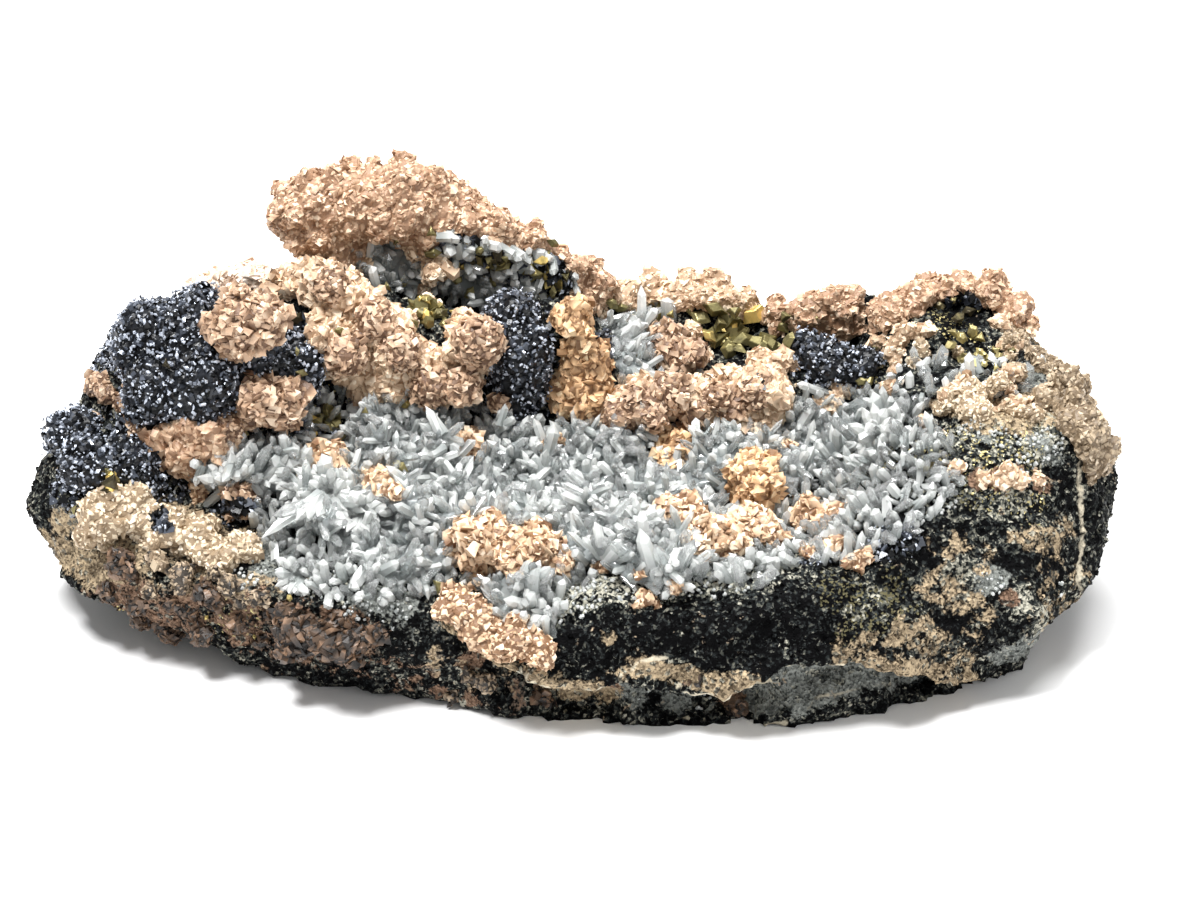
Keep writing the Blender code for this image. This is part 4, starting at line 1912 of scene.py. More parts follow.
@dataclass
class QuartzCarpet:
    """The wide carpet of quartz points over the basin.

    Attributes:
        name: The piece's name.
        outline: Its outline on the grid.
        growth: How its points grow.
    """

    name: str
    outline: tuple[tuple[float, float], ...]
    growth: Growth = Growth(1.3, (0, -0.2, 0.7), 0)

    def build(self, shop: Workshop, ground: bpy.types.Mesh) -> None:
        """Builds the piece.

        Args:
            shop: The workshop.
            ground: The surface that it grows on.
        """
        cluster = Cluster()
        seats = spread(
            ground, self.growth.spacing_mm, SEED,
            lambda points, outward: within(on_grid(points), self.outline)
            & (outward @ np.array(VIEW_BACK) > -0.1),
        )
        for seat in seats:
            if shop.in_air(seat, 8.0):
                self.growth.grow(cluster, seat, 1.0, shop)
        mesh = cluster.mesh(self.name)
        shop.deliver(shop.piece(self.name, mesh), [shop.quartz, shop.milk])


@dataclass
class CrystalPatch:
    """Small crystals scattered over patches of the block.

    Attributes:
        name: The piece's name.
        slot: The mineral.
        spots: Its patches as (x, y, radius in mm).
        spacing_mm: How far apart the crystals stand.
        crystal_mm: Radius of the largest.
        share: How much of the seats is taken.
    """

    name: str
    slot: Slot
    spots: list[Spot]
    spacing_mm: float = 0.85
    crystal_mm: float = 0.75
    share: float = 1.0

    def build(self, shop: Workshop, ground: bpy.types.Mesh) -> None:
        """Builds the piece.

        Args:
            shop: The workshop.
            ground: The surface that it grows on.
        """
        tree = tree_of([ground])
        middles = [
            (np.array(shop.seat(x, y, tree).point), radius * MM) for x, y, radius in self.spots
        ]

        def near(points: np.ndarray, outward: np.ndarray) -> np.ndarray:
            """Which seats lie in a patch."""
            found = np.zeros(len(points), bool)
            for middle, radius in middles:
                found |= np.linalg.norm(points - middle, axis=1) < radius
            return found & (outward @ np.array(VIEW_BACK) > 0.0)

        chance = shop.chance
        cluster = Cluster()
        casts = {
            Slot.SPHALERITE: shop.crystals, Slot.QUARTZ: shop.points, Slot.PYRITE: shop.wedges,
        }[self.slot]
        for seat in spread(ground, self.spacing_mm, len(self.name), near):
            if chance.random() > self.share or not shop.in_air(seat):
                continue
            size = self.crystal_mm * chance.uniform(0.4, 1.0) * MM
            ahead = leaning(seat.outward, 0.8, chance)
            cluster.plant(casts, seat.point, ahead, (size,) * 3, chance)
            if self.slot is Slot.SPHALERITE:
                add_painted_glint(cluster, seat, shop)
        material = {
            Slot.SPHALERITE: shop.blende, Slot.QUARTZ: shop.milk, Slot.PYRITE: shop.pyrite,
        }[self.slot]
        shop.deliver(shop.piece(self.name, cluster.mesh(self.name)), [material])


@dataclass(frozen=True)
class Fan:
    """Quartz points that radiate from one place.

    Attributes:
        x: Where it stands, in steps from the left.
        y: The same from the top.
        count: How many points it has.
        length_mm: Shortest and longest point.
        width_mm: Narrowest and widest point.
        turns: The first and the last way that they point on the grid, in turns from the right
            and upwards.
    """

    x: float
    y: float
    count: int
    length_mm: tuple[float, float]
    width_mm: tuple[float, float]
    turns: tuple[float, float] = (0.0, 1.0)

    def grow(self, cluster: Cluster, shop: Workshop, ground: BVHTree) -> None:
        """Adds its points.

        Args:
            cluster: The mesh that they are joined into.
            shop: The workshop.
            ground: What they stand on.
        """
        chance = shop.chance
        for number in range(self.count):
            share = (number + chance.uniform(0.2, 0.8)) / self.count
            turn = math.tau * (self.turns[0] + share * (self.turns[1] - self.turns[0]))
            foot = shop.seat(
                self.x + 6 * math.cos(turn), self.y - 6 * math.sin(turn), ground
            ).point
            ahead = Vector((math.cos(turn), 0, 0)) + VIEW_UP * math.sin(turn)
            ahead = (ahead + VIEW_BACK * chance.uniform(0.4, 1.9)).normalized()
            length, width = chance.uniform(*self.length_mm), chance.uniform(*self.width_mm)
            add_point(cluster, foot - ahead * 0.6 * MM, ahead, length, width, shop)


@dataclass
class Needles:
    """Large quartz points that stand at known places.

    Attributes:
        name: The piece's name.
        points: Each one's foot x and y, tip x and y on the grid, width in mm, and how far it
            leans towards the show side as a share of its length.
        fans: Its radiating clusters.
        stoutness: What the widths are multiplied by.
    """

    name: str
    points: list[tuple[float, float, float, float, float, float]]
    fans: tuple[Fan, ...] = ()
    stoutness: float = 1.1

    def build(self, shop: Workshop, ground: BVHTree) -> None:
        """Builds the piece.

        Args:
            shop: The workshop.
            ground: What they stand on.
        """
        cluster = Cluster()
        for fan in self.fans:
            fan.grow(cluster, shop, ground)
        for x, y, tip_x, tip_y, width, towards in self.points:
            foot = shop.seat(x, y, ground).point
            ahead = Vector(((tip_x - x) * GRID_STEP, 0, 0)) + VIEW_UP * (y - tip_y) * GRID_STEP
            ahead += VIEW_BACK * towards * ahead.length
            length = ahead.length / MM
            ahead.normalize()
            width *= self.stoutness
            kind = int(shop.chance.random() < 0.5)
            add_point(cluster, foot - ahead * 0.8 * MM, ahead, length + 0.8, width, shop, kind)
        mesh = cluster.mesh(self.name)
        shop.deliver(shop.piece(self.name, mesh), [shop.milk, shop.quartz])


@dataclass
class Wedges:
    """Chalcopyrite or pyrite crystals that stand at known places.

    Attributes:
        name: The piece's name.
        slot: Chalcopyrite or pyrite.
        crystals: Each one's x and y on the grid, radius in mm and tone from 0, tarnished, to
            1, bright.
        clear_mm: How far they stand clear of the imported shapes.
    """

    name: str
    slot: Slot
    crystals: list[tuple[float, float, float, float]]
    clear_mm: float = 1.0

    def build(self, shop: Workshop, ground: BVHTree) -> None:
        """Builds the piece.

        Args:
            shop: The workshop.
            ground: What they stand on.
        """
        chance = shop.chance
        cluster = Cluster()
        for x, y, radius, tone in self.crystals:
            seat = shop.seat(x, y, ground)
            ahead = leaning(seat.outward + VIEW_BACK, 0.35, chance)
            scale = (radius * MM, radius * MM, radius * MM * chance.uniform(0.7, 1.0))
            point = seat.point + ahead * (radius * 0.3 + self.clear_mm) * MM
            place = stance(point, ahead, scale, chance.uniform(0, math.tau))
            cluster.add(chance.choice(shop.wedges), place, tone)
        material = shop.pyrite if self.slot is Slot.PYRITE else shop.chalcopyrite
        mesh = cluster.mesh(self.name)
        shop.deliver(shop.piece(self.name, mesh), [material])


@dataclass
class Lamp:
    """One soft light.

    Attributes:
        name: Its name.
        place: Where it hangs, in metres.
        size: Its width.
        power: Its power in watts.
    """

    name: str
    place: tuple[float, float, float]
    size: float
    power: float

    def hang(self) -> None:
        """Makes the light, aimed at the object."""
        data = bpy.data.lights.new(self.name, "AREA")
        data.size, data.energy = self.size, self.power
        obj = bpy.data.objects.new(self.name, data)
        bpy.context.scene.collection.objects.link(obj)
        obj.location = self.place
        aim = VIEW_MIDDLE - Vector(self.place)
        obj.rotation_euler = aim.to_track_quat("-Z", "Y").to_euler()


@dataclass
class Studio:
    """A plain pale floor, soft lights and the camera."""

    lamps: tuple[Lamp, ...] = (
        Lamp("key", (-0.25, -0.12, 0.85), 0.22, 11.0),
        Lamp("top", (0.15, 0.30, 0.9), 0.5, 10.0),
        Lamp("side", (0.8, -0.3, 0.4), 0.4, 2.0),
    )
    world: float = 0.42
    floor_m: float = 6.0

    def build(self) -> None:
        """Builds the studio."""
        scene = bpy.context.scene
        scene.view_settings.view_transform = "Standard"
        for lamp in self.lamps:
            lamp.hang()
        sky = bpy.data.worlds.new("pale_room")
        sky.use_nodes = True
        background = sky.node_tree.nodes["Background"]
        background.inputs["Color"].default_value = (1, 1, 1, 1)
        background.inputs["Strength"].default_value = self.world
        scene.world = sky
        bm = bmesh.new()
        bmesh.ops.create_grid(bm, x_segments=8, y_segments=8, size=self.floor_m / 2)
        mesh = mesh_of(bm, "floor")
        mesh.materials.append(FloorFinish().make())
        floor = bpy.data.objects.new("floor", mesh)
        scene.collection.objects.link(floor)
        floor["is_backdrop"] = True
        data = bpy.data.cameras.new("camera")
        data.lens, data.sensor_width = LENS_MM, SENSOR_MM
        data.clip_start, data.clip_end = 0.01, 20.0
        camera = bpy.data.objects.new("camera", data)
        scene.collection.objects.link(camera)
        camera.location = EYE
        camera.rotation_euler = (-VIEW_BACK).to_track_quat("-Z", "Y").to_euler()
        scene.camera = camera


ZONES: dict[Zone, list[Spot]] = {
    Zone.TAN: [
        (60, 525, 2.5), (110, 500, 3), (130, 495, 3), (120, 525, 3.4), (145, 515, 3),
        (140, 545, 3.4), (175, 515, 3.2), (195, 530, 3.4), (170, 545, 2.6), (190, 550, 3),
        (220, 545, 3), (245, 540, 2.6), (205, 565, 2.6), (230, 560, 2.4), (105, 565, 2.4),
        (125, 555, 3), (455, 625, 2.2), (480, 645, 2.4), (505, 660, 2.4), (610, 640, 1),
        (1010, 320, 2.6), (1030, 335, 2.6), (1045, 355, 2.6), (1055, 375, 2.6),
        (1065, 395, 2.8), (1080, 400, 2.6), (1090, 415, 2.6), (1100, 435, 2.4),
        (1095, 455, 2.4), (1050, 400, 2.4), (1030, 402, 2.4), (960, 405, 1.8), (1020, 420, 2),
    ],
    Zone.PINK: [
        (60, 545, 1.6), (140, 595, 2.6), (120, 600, 2.6), (140, 615, 3), (165, 620, 2.6),
        (110, 580, 2.4), (190, 600, 2.4), (215, 600, 2.2), (240, 605, 2.4), (260, 600, 2),
        (230, 625, 2.4), (250, 635, 2.4), (200, 630, 2.4), (300, 620, 3), (330, 625, 3),
        (350, 635, 3), (295, 645, 3), (325, 650, 3), (375, 635, 2.2), (465, 670, 1.8),
        (485, 670, 1.8), (470, 700, 1.6), (440, 690, 1.2), (540, 695, 1.6), (600, 700, 1.4),
        (1000, 480, 2), (1020, 475, 1.8), (955, 475, 1.6), (980, 480, 1.6), (1040, 485, 1.4),
        (925, 440, 1.4), (940, 430, 1.2), (735, 712, 1.8), (1010, 600, 1.4),
    ],
    Zone.PALE: [
        (545, 590, 3), (570, 592, 3.6), (595, 588, 3.4), (620, 585, 3), (645, 590, 3),
        (670, 580, 2.6), (560, 610, 2.4), (590, 605, 2), (720, 560, 3), (745, 565, 2.6),
        (700, 555, 2.4), (775, 560, 2), (880, 595, 1.8), (860, 610, 1.8),
        (1000, 440, 2), (1030, 450, 2.4), (1040, 460, 2), (1020, 500, 2.4), (960, 570, 2.4),
        (1040, 620, 2.6), (1020, 600, 2), (970, 430, 2), (1050, 430, 3),
    ],
    # Dark spots on the front slab are its own dark ore; those below the ledge line and in the
    # recess at the lower left are painted shade.
    Zone.DARK: [
        (560, 640, 3.4), (600, 630, 4), (650, 635, 4.5), (700, 630, 4.5), (750, 625, 4.5),
        (800, 625, 4), (780, 590, 3.4), (840, 640, 2), (560, 660, 2.6), (600, 665, 2.8),
        (720, 655, 3), (760, 655, 3), (1005, 570, 2.6), (1030, 562, 2.4), (1050, 558, 2),
        (1000, 590, 2.2), (960, 625, 2.4), (940, 622, 1.6), (1060, 480, 2.6), (1065, 500, 2),
        (1030, 510, 2.4), (400, 650, 5), (440, 650, 4), (350, 675, 4), (500, 700, 4),
        (420, 700, 4), (640, 700, 1.6), (660, 715, 1.6), (700, 705, 1.8), (990, 640, 3),
        (250, 570, 2), (165, 560, 1.4), (155, 530, 1.4), (90, 528, 2), (880, 545, 3),
        (900, 530, 2.6), (920, 545, 3), (955, 320, 2.8), (965, 310, 2.2), (250, 515, 3),
        (225, 520, 2.6),
    ],
    Zone.GREY: [
        (620, 700, 2.2), (605, 702, 1.8), (648, 706, 2.2), (682, 710, 2), (800, 690, 2.4),
        (820, 685, 2.6), (845, 680, 2.6),
        (870, 685, 2.6), (895, 684, 2.4), (920, 688, 2), (800, 705, 2), (770, 712, 2),
        (745, 728, 0.9), (770, 728, 0.8), (795, 718, 1), (820, 704, 0.9), (850, 698, 0.9),
        (880, 697, 0.9), (712, 724, 0.8), (690, 690, 1.2), (985, 580, 2), (1000, 575, 1.4),
        (1030, 370, 2.6), (1035, 385, 2.2), (380, 600, 2.6), (360, 595, 2), (405, 605, 2),
        (270, 555, 2.6), (265, 575, 2.2), (240, 590, 2), (1040, 440, 2), (1050, 455, 2),
        (985, 440, 1.4), (60, 520, 2), (75, 530, 2),
    ],
    Zone.BRASS: [
        (860, 455, 4), (880, 465, 4), (930, 450, 4), (950, 440, 4), (990, 450, 4),
        (1020, 450, 4), (1000, 480, 4), (1030, 505, 3), (320, 420, 4), (340, 400, 4),
        (120, 620, 3), (230, 620, 4), (950, 330, 4), (870, 380, 3), (340, 430, 3),
    ],
    Zone.OLIVE: [
        (835, 590, 3), (860, 600, 3.4), (890, 590, 3), (900, 610, 3), (870, 620, 2.6),
        (850, 630, 2), (1005, 430, 3), (1040, 425, 3), (1030, 460, 3), (975, 490, 3),
        (950, 320, 3),
    ],
}
VEINS = (
    Vein(Zone.EDGE, 0.4, (
        (520, 664), (540, 679), (560, 686), (585, 688), (603, 687), (622, 681), (632, 674),
    )),
    Vein(Zone.EDGE, 0.3, ((622, 672), (640, 663), (655, 659), (675, 660))),
    Vein(Zone.EDGE, 0.35, ((672, 678), (690, 687), (720, 690), (745, 688), (766, 678))),
    Vein(Zone.EDGE, 0.35, ((785, 664), (805, 665), (830, 660), (858, 661))),
    Vein(Zone.EDGE, 0.3, ((690, 701), (715, 703), (740, 700), (775, 697))),
    Vein(Zone.EDGE, 0.35, ((786, 720), (800, 714), (818, 703), (835, 698), (870, 698),
    (905, 697)), 0.7),
    Vein(Zone.EDGE, 0.5, ((685, 728), (720, 730), (760, 728), (785, 725))),
    Vein(Zone.EDGE, 0.5, (
        (1072, 405), (1077, 430), (1080, 450), (1079, 480), (1083, 520), (1084, 550), (1080, 590),
    ), 0.8),
    Vein(Zone.TAN, 1.2, ((625, 670), (650, 667), (690, 673), (720, 681), (755, 680))),
    Vein(Zone.TAN, 1.1, ((528, 668), (548, 679), (575, 684), (600, 683))),
    Vein(Zone.TAN, 1.6, ((838, 652), (870, 657), (905, 664), (940, 670), (965, 674)), 0.75),
    Vein(Zone.TAN, 1.6, ((870, 640), (905, 642), (935, 648), (965, 658)), 0.55),
    Vein(Zone.TAN, 2.6, ((950, 545), (968, 555), (980, 562)), 0.5),
    Vein(Zone.TAN, 2.8, ((935, 590), (952, 598), (968, 606)), 0.55),
    Vein(Zone.TAN, 2.4, ((905, 625), (922, 630), (938, 640)), 0.6),
    Vein(Zone.TAN, 2.0, ((984, 612), (976, 630)), 0.5),
    Vein(Zone.TAN, 2.4, ((1025, 535), (1045, 542), (1062, 530)), 0.6),
    Vein(Zone.TAN, 4.0, ((1058, 575), (1064, 600), (1050, 630)), 0.45),
    Vein(Zone.TAN, 3.0, ((975, 410), (1010, 414), (1040, 408), (1065, 402), (1090, 415)), 0.9),
    Vein(Zone.TAN, 2.4, ((430, 650), (460, 680), (500, 690)), 0.4),
    Vein(Zone.GREY, 4.0, ((410, 640), (460, 665), (530, 700)), 0.36),
    Vein(Zone.TAN, 1.2, ((545, 700), (575, 705), (600, 708))),
    Vein(Zone.TAN, 2.2, ((45, 545), (75, 560), (100, 575))),
    Vein(Zone.GREY, 2.2, ((790, 690), (820, 690), (850, 685), (880, 682), (900, 690))),
    Vein(Zone.GREY, 1.4, ((600, 690), (620, 700), (650, 695))),
    Vein(Zone.GREY, 1.4, ((690, 697), (730, 700), (770, 710), (740, 720))),
    Vein(Zone.GREY, 1.6, ((1000, 655), (1020, 650), (1045, 635))),
    Vein(Zone.GREY, 1.4, ((980, 585), (1000, 580), (985, 570))),
    Vein(Zone.PALE, 8.0, ((990, 440), (1020, 480)), 0.4),
    Vein(Zone.PALE, 8.0, ((400, 650), (460, 675), (530, 700)), 0.2),
    Vein(Zone.PALE, 3.0, ((540, 592), (620, 588), (700, 575), (780, 570)), 0.8),
    Vein(Zone.PINK, 4.0, ((110, 585), (150, 605), (200, 610), (260, 625)), 0.5),
    Vein(Zone.TAN, 3.4, ((120, 560), (170, 580), (230, 590), (270, 600)), 0.42),
    Vein(Zone.PINK, 4.0, ((280, 640), (340, 650), (420, 670), (520, 700)), 0.35),
)
BEHIND: dict[Zone, list[tuple[float, float, float, float]]] = {
    Zone.TAN: [
        (-62, 34, 31, 4), (-53, 39, 29, 6), (-45, 41, 27, 5), (-38, 42, 25, 6.5),
        (-30, 44, 22, 5), (-22, 45, 20, 6), (-14, 46, 18, 4.5), (0, 46, 16, 5), (9, 46, 14, 5.5),
        (18, 46, 12, 4.5), (34, 45, 10, 6), (43, 44, 9, 5), (62, 34, 26, 4.5), (67, 28, 22, 6),
        (72, 22, 18, 4.5), (-76, 16, 8, 4), (-16, 38, 36, 4), (-22, 38, 37, 4.5),
    ],
    Zone.GREY: [
        (12, 46, 25, 4), (18, 46, 23, 5), (26, 46, 21, 5), (34, 45, 20, 4), (-54, 36, 12, 5),
        (-61, 32, 10, 5), (74, 20, 26, 3),
    ],
    Zone.PINK: [(-14, 42, 8, 4.5), (-7, 44, 7, 5), (0, 45, 7, 4), (50, 40, 18, 4.5),
    (57, 38, 15, 4)],
    Zone.PALE: [
        (-34, 44, 8, 7), (-24, 46, 9, 7), (-10, 46, 9, 6), (28, 44, 6, 7), (38, 44, 7, 7),
        (50, 40, 10, 6), (70, 10, 6, 6),
    ],
}
CRUSTS = (
    Crust("rhodochrosite_back_lobe", Look.BLUSH, 1.0, 0.78),
    Crust("rhodochrosite_ridge", Look.SHELL, knob_mm=(1.6, 2.8)),
    Crust("rhodochrosite_mound_back", Look.PALE),
    Crust("rhodochrosite_left_shoulder", Look.BLUSH),
    Crust("rhodochrosite_column_band", Look.AMBER),
    Crust("rhodochrosite_saddle", Look.SHELL, 1.4, 0.85, 0.6, (1.4, 2.8)),
    Crust("rhodochrosite_back_ridge", Look.SHELL, 1.0, 0.8),
    Crust("rhodochrosite_back_knob", Look.BLUSH, 1.0, 0.8),
    Crust("rhodochrosite_right_rim", Look.BLUSH, 0.95, 0.74),
    Crust("rhodochrosite_right_end", Look.SAND, 0.85, 0.72),
    Crust("rhodochrosite_left_foot", Look.IVORY, 0.9, 0.76),
    Crust("rhodochrosite_front_band", Look.CREAM, 0.95, 0.76),
    Crust("rhodochrosite_lower_front", Look.BROWN, 1.6, 1.1),
    Crust("rosette_mound_crest", knobs=0.4),
    Crust("rosette_mound_face", knobs=0.5),
    Crust("rosettes_valley", knobs=0.5),
    Crust("rosette_basin_back_left", Look.CREAM, knobs=0.5),
    Crust("rosette_basin_back_right", Look.AMBER, knobs=0.5),
    Crust("rosette_basin_left", Look.CREAM, knobs=0.5),
    Crust("rosette_fan", Look.CREAM, knobs=0.5),
    Crust("rosette_left_small", knobs=0.5),
    Crust("rosettes_front_pair", Look.CREAM, knobs=0.5),
    Crust("rosette_basin_centre", Look.CREAM, knobs=0.5),
    Crust("rosettes_front_right", Look.CREAM, knobs=0.5),
    Crust("rosette_basin_right", Look.AMBER, knobs=0.5),
    Crust("rosettes_right_edge", Look.CREAM, knobs=0.5),
)
QUARTZ = ("basin", "fan", "back_hollow", "valley", "right_hollow")
BASIN = (
    (262, 400), (330, 388), (400, 372), (470, 395), (490, 425), (560, 425), (640, 445),
    (690, 425), (760, 400), (830, 385), (900, 400), (950, 440), (962, 480), (930, 520),
    (880, 545), (840, 565), (800, 560), (760, 578), (700, 580), (600, 575), (560, 595),
    (560, 640),
    (520, 640), (480, 590), (430, 595), (340, 600), (290, 585), (262, 540), (235, 500),
    (172, 470), (182, 440), (250, 445),
)


POCKETS = (
    Pocket(
        (
            (440, 232), (480, 238), (505, 250), (545, 252), (562, 262), (576, 280), (568, 298),
            (545, 304), (455, 304), (440, 290),
        ),
        0.16, 0.2,
    ),
    Pocket(
        (
            (932, 330), (936, 308), (950, 296), (968, 293), (982, 302), (986, 315), (980, 332),
            (960, 345), (940, 345),
        ),
        0.0, 0.25, (0.4, 0.9),
    ),
    Pocket(((664, 396), (676, 390), (688, 396), (686, 408), (672, 410))),
    Pocket(((748, 382), (758, 377), (766, 384), (760, 393), (750, 392))),
    Pocket(((150, 512), (165, 509), (172, 528), (160, 534), (152, 524))),
    Pocket(((208, 500), (240, 497), (258, 508), (240, 518), (216, 514))),
    Pocket(((152, 552), (166, 549), (175, 562), (165, 572), (154, 564))),
)
LUMPS = (
    Crumbs(
        "rhodochrosite_left_lumps", Look.PEACH,
        [
            (182, 400, 3.8), (166, 392, 2.6), (200, 408, 2.6), (218, 425, 3.8), (232, 440, 2.4),
            (180, 440, 3.4), (165, 455, 2.2), (205, 450, 2.6), (140, 420, 2.8), (130, 402, 2),
            (100, 385, 2.6), (75, 390, 2), (95, 420, 1.6), (180, 470, 1.8), (140, 385, 2),
            (108, 458, 1.5), (292, 385, 1.8), (300, 395, 1.4), (232, 280, 2), (265, 278, 1.5),
        ],
    ),
    Crumbs(
        "rhodochrosite_foot_crumbs", Look.IVORY,
        [
            (110, 495, 2.2), (135, 500, 2), (115, 520, 2.2), (145, 525, 2), (170, 512, 1.8),
            (190, 525, 2), (200, 540, 2), (225, 548, 1.6), (180, 550, 1.8), (150, 545, 1.8),
            (245, 540, 1.4), (108, 545, 1.6),
        ],
        0.75, 0.65,
    ),
    Crumbs(
        "rhodochrosite_low_lumps", Look.BROWN,
        [
            (122, 565, 2.2), (128, 572, 1.6), (175, 605, 1.6), (190, 612, 1.4), (292, 615, 2.4),
            (310, 625, 2.4), (335, 625, 2.6), (352, 635, 2.6), (330, 642, 2), (378, 632, 1.6),
            (290, 640, 2), (735, 712, 1.5), (700, 682, 0.9), (685, 684, 0.8), (110, 590, 2),
            (142, 602, 2.2), (150, 622, 2.2), (172, 630, 2), (200, 628, 2.2), (215, 600, 1.8),
            (242, 622, 2), (262, 640, 2.2), (205, 590, 1.6), (270, 612, 1.6), (545, 698, 1.6),
        ],
        1.2,
    ),
    Crumbs(
        "rhodochrosite_front_crumbs", Look.CREAM,
        [
            (478, 580, 2), (470, 592, 1.6), (452, 600, 2), (446, 612, 1.6), (470, 615, 1.8),
            (560, 568, 2), (572, 562, 1.6), (604, 566, 1.8), (642, 600, 1.5), (655, 603, 1.2),
            (672, 585, 1.4), (640, 578, 1), (545, 445, 1.8), (558, 440, 1.2), (318, 452, 2),
            (340, 465, 1.8), (375, 492, 2), (392, 495, 1.8), (245, 492, 1.8), (235, 500, 1.6),
            (198, 488, 1.6), (200, 498, 1.2), (838, 515, 2), (825, 528, 2), (815, 520, 1.6),
            (840, 545, 2), (822, 548, 1.6), (808, 556, 1.6), (862, 562, 1.6), (850, 565, 1.2),
            (785, 445, 1.4), (800, 500, 1.2), (690, 512, 1.8),
        ],
        1.1,
    ),
    Crumbs(
        "rhodochrosite_back_crumbs", Look.SHELL,
        [
            (418, 240, 2.4), (412, 250, 1.8), (430, 270, 2.6), (424, 285, 1.8), (430, 305, 1.8),
            (412, 320, 1.6), (368, 262, 1.8), (352, 270, 2.4), (340, 258, 2.2), (675, 335, 2.6),
            (690, 330, 2), (655, 365, 2), (680, 368, 2.4), (702, 355, 2.2), (712, 380, 2),
            (728, 378, 1.8), (645, 392, 2), (632, 385, 1.6), (745, 385, 2), (770, 375, 2),
            (790, 365, 1.8), (600, 320, 2.2), (590, 300, 2.4), (805, 330, 2.2), (830, 335, 2.2),
            (850, 330, 2.2), (790, 315, 1.8), (770, 315, 1.6), (838, 390, 2), (855, 385, 1.8),
            (820, 400, 1.8), (835, 405, 1.6), (890, 325, 2.2), (905, 335, 2), (925, 330, 1.8),
            (895, 350, 2), (880, 345, 1.8), (1000, 330, 2), (1010, 345, 2), (1020, 330, 2),
            (960, 385, 1.8), (950, 398, 1.8), (970, 400, 1.8), (1008, 388, 1.4), (985, 405, 2),
            (1005, 412, 2), (1020, 405, 2), (1010, 370, 1.4), (895, 370, 1.6), (890, 385, 1.4),
            (955, 472, 1.6), (985, 478, 1.6), (1005, 472, 1.6), (1018, 480, 1.6),
            (1000, 485, 1.4), (1035, 478, 1.4), (940, 435, 1.4), (925, 425, 1.4),
        ],
        1.0,
    ),
    Crumbs(
        "rhodochrosite_pale_crumbs", Look.IVORY,
        [
            (797, 290, 2.0), (806, 291, 2.0), (925, 350, 1.8), (915, 365, 1.8), (958, 352, 1.3),
            (1000, 382, 1.6), (975, 394, 2.0), (955, 396, 2.0), (935, 405, 1.6),
            (1042, 396, 1.4), (965, 410, 2.0), (985, 413, 1.8), (1012, 414, 1.8),
            (1036, 412, 1.6), (1058, 410, 1.6), (1008, 358, 1.2), (992, 390, 1.4),
            (945, 412, 1.8), (1000, 402, 1.6), (1024, 402, 1.6), (980, 402, 1.6),
        ],
        0.7, 0.62,
    ),
    Crumbs(
        "rhodochrosite_low_sand", Look.TAUPE,
        [
            (160, 562, 2), (185, 575, 2.2), (230, 586, 2), (262, 600, 1.8), (205, 560, 1.6),
            (150, 588, 1.6), (125, 560, 1.6), (240, 605, 1.4), (215, 575, 1.6), (180, 592, 1.4),
            (300, 640, 1.6), (345, 625, 1.4), (470, 675, 1.4), (490, 683, 1.6), (450, 695, 1.4),
        ],
        0.8, 0.7,
    ),
    Crumbs(
        "rhodochrosite_rim_crumbs", Look.SAND,
        [
            (1002, 322, 2), (1014, 332, 2.2), (1022, 344, 2.2), (1032, 356, 2), (1010, 346, 1.8),
            (1040, 368, 1.8), (1040, 345, 2), (1050, 365, 2), (1058, 385, 2.2), (1072, 395, 2.2),
            (1085, 405, 2),
            (1098, 425, 2), (1104, 450, 2.2), (1098, 465, 2), (1088, 478, 1.6), (1040, 402, 2),
            (1060, 405, 2), (1030, 415, 1.6),
        ],
        0.7, 0.6,
    ),
)
ROSETTES = Crumbs(
    "rhodochrosite_small_rosettes", Look.PEACH,
    [
        (478, 343, 4.0), (462, 388, 3.0), (432, 385, 3.4), (500, 402, 1.8), (330, 285, 3.0),
        (375, 320, 3.0), (400, 350, 3.4), (345, 355, 3.4), (640, 402, 3.0), (672, 392, 3.2),
        (760, 392, 3.0), (720, 398, 2.6), (620, 418, 2.6), (692, 414, 2.4), (732, 411, 2.2),
        (652, 418, 2.2),
    ],
    1.25, 0.85, 1,
)
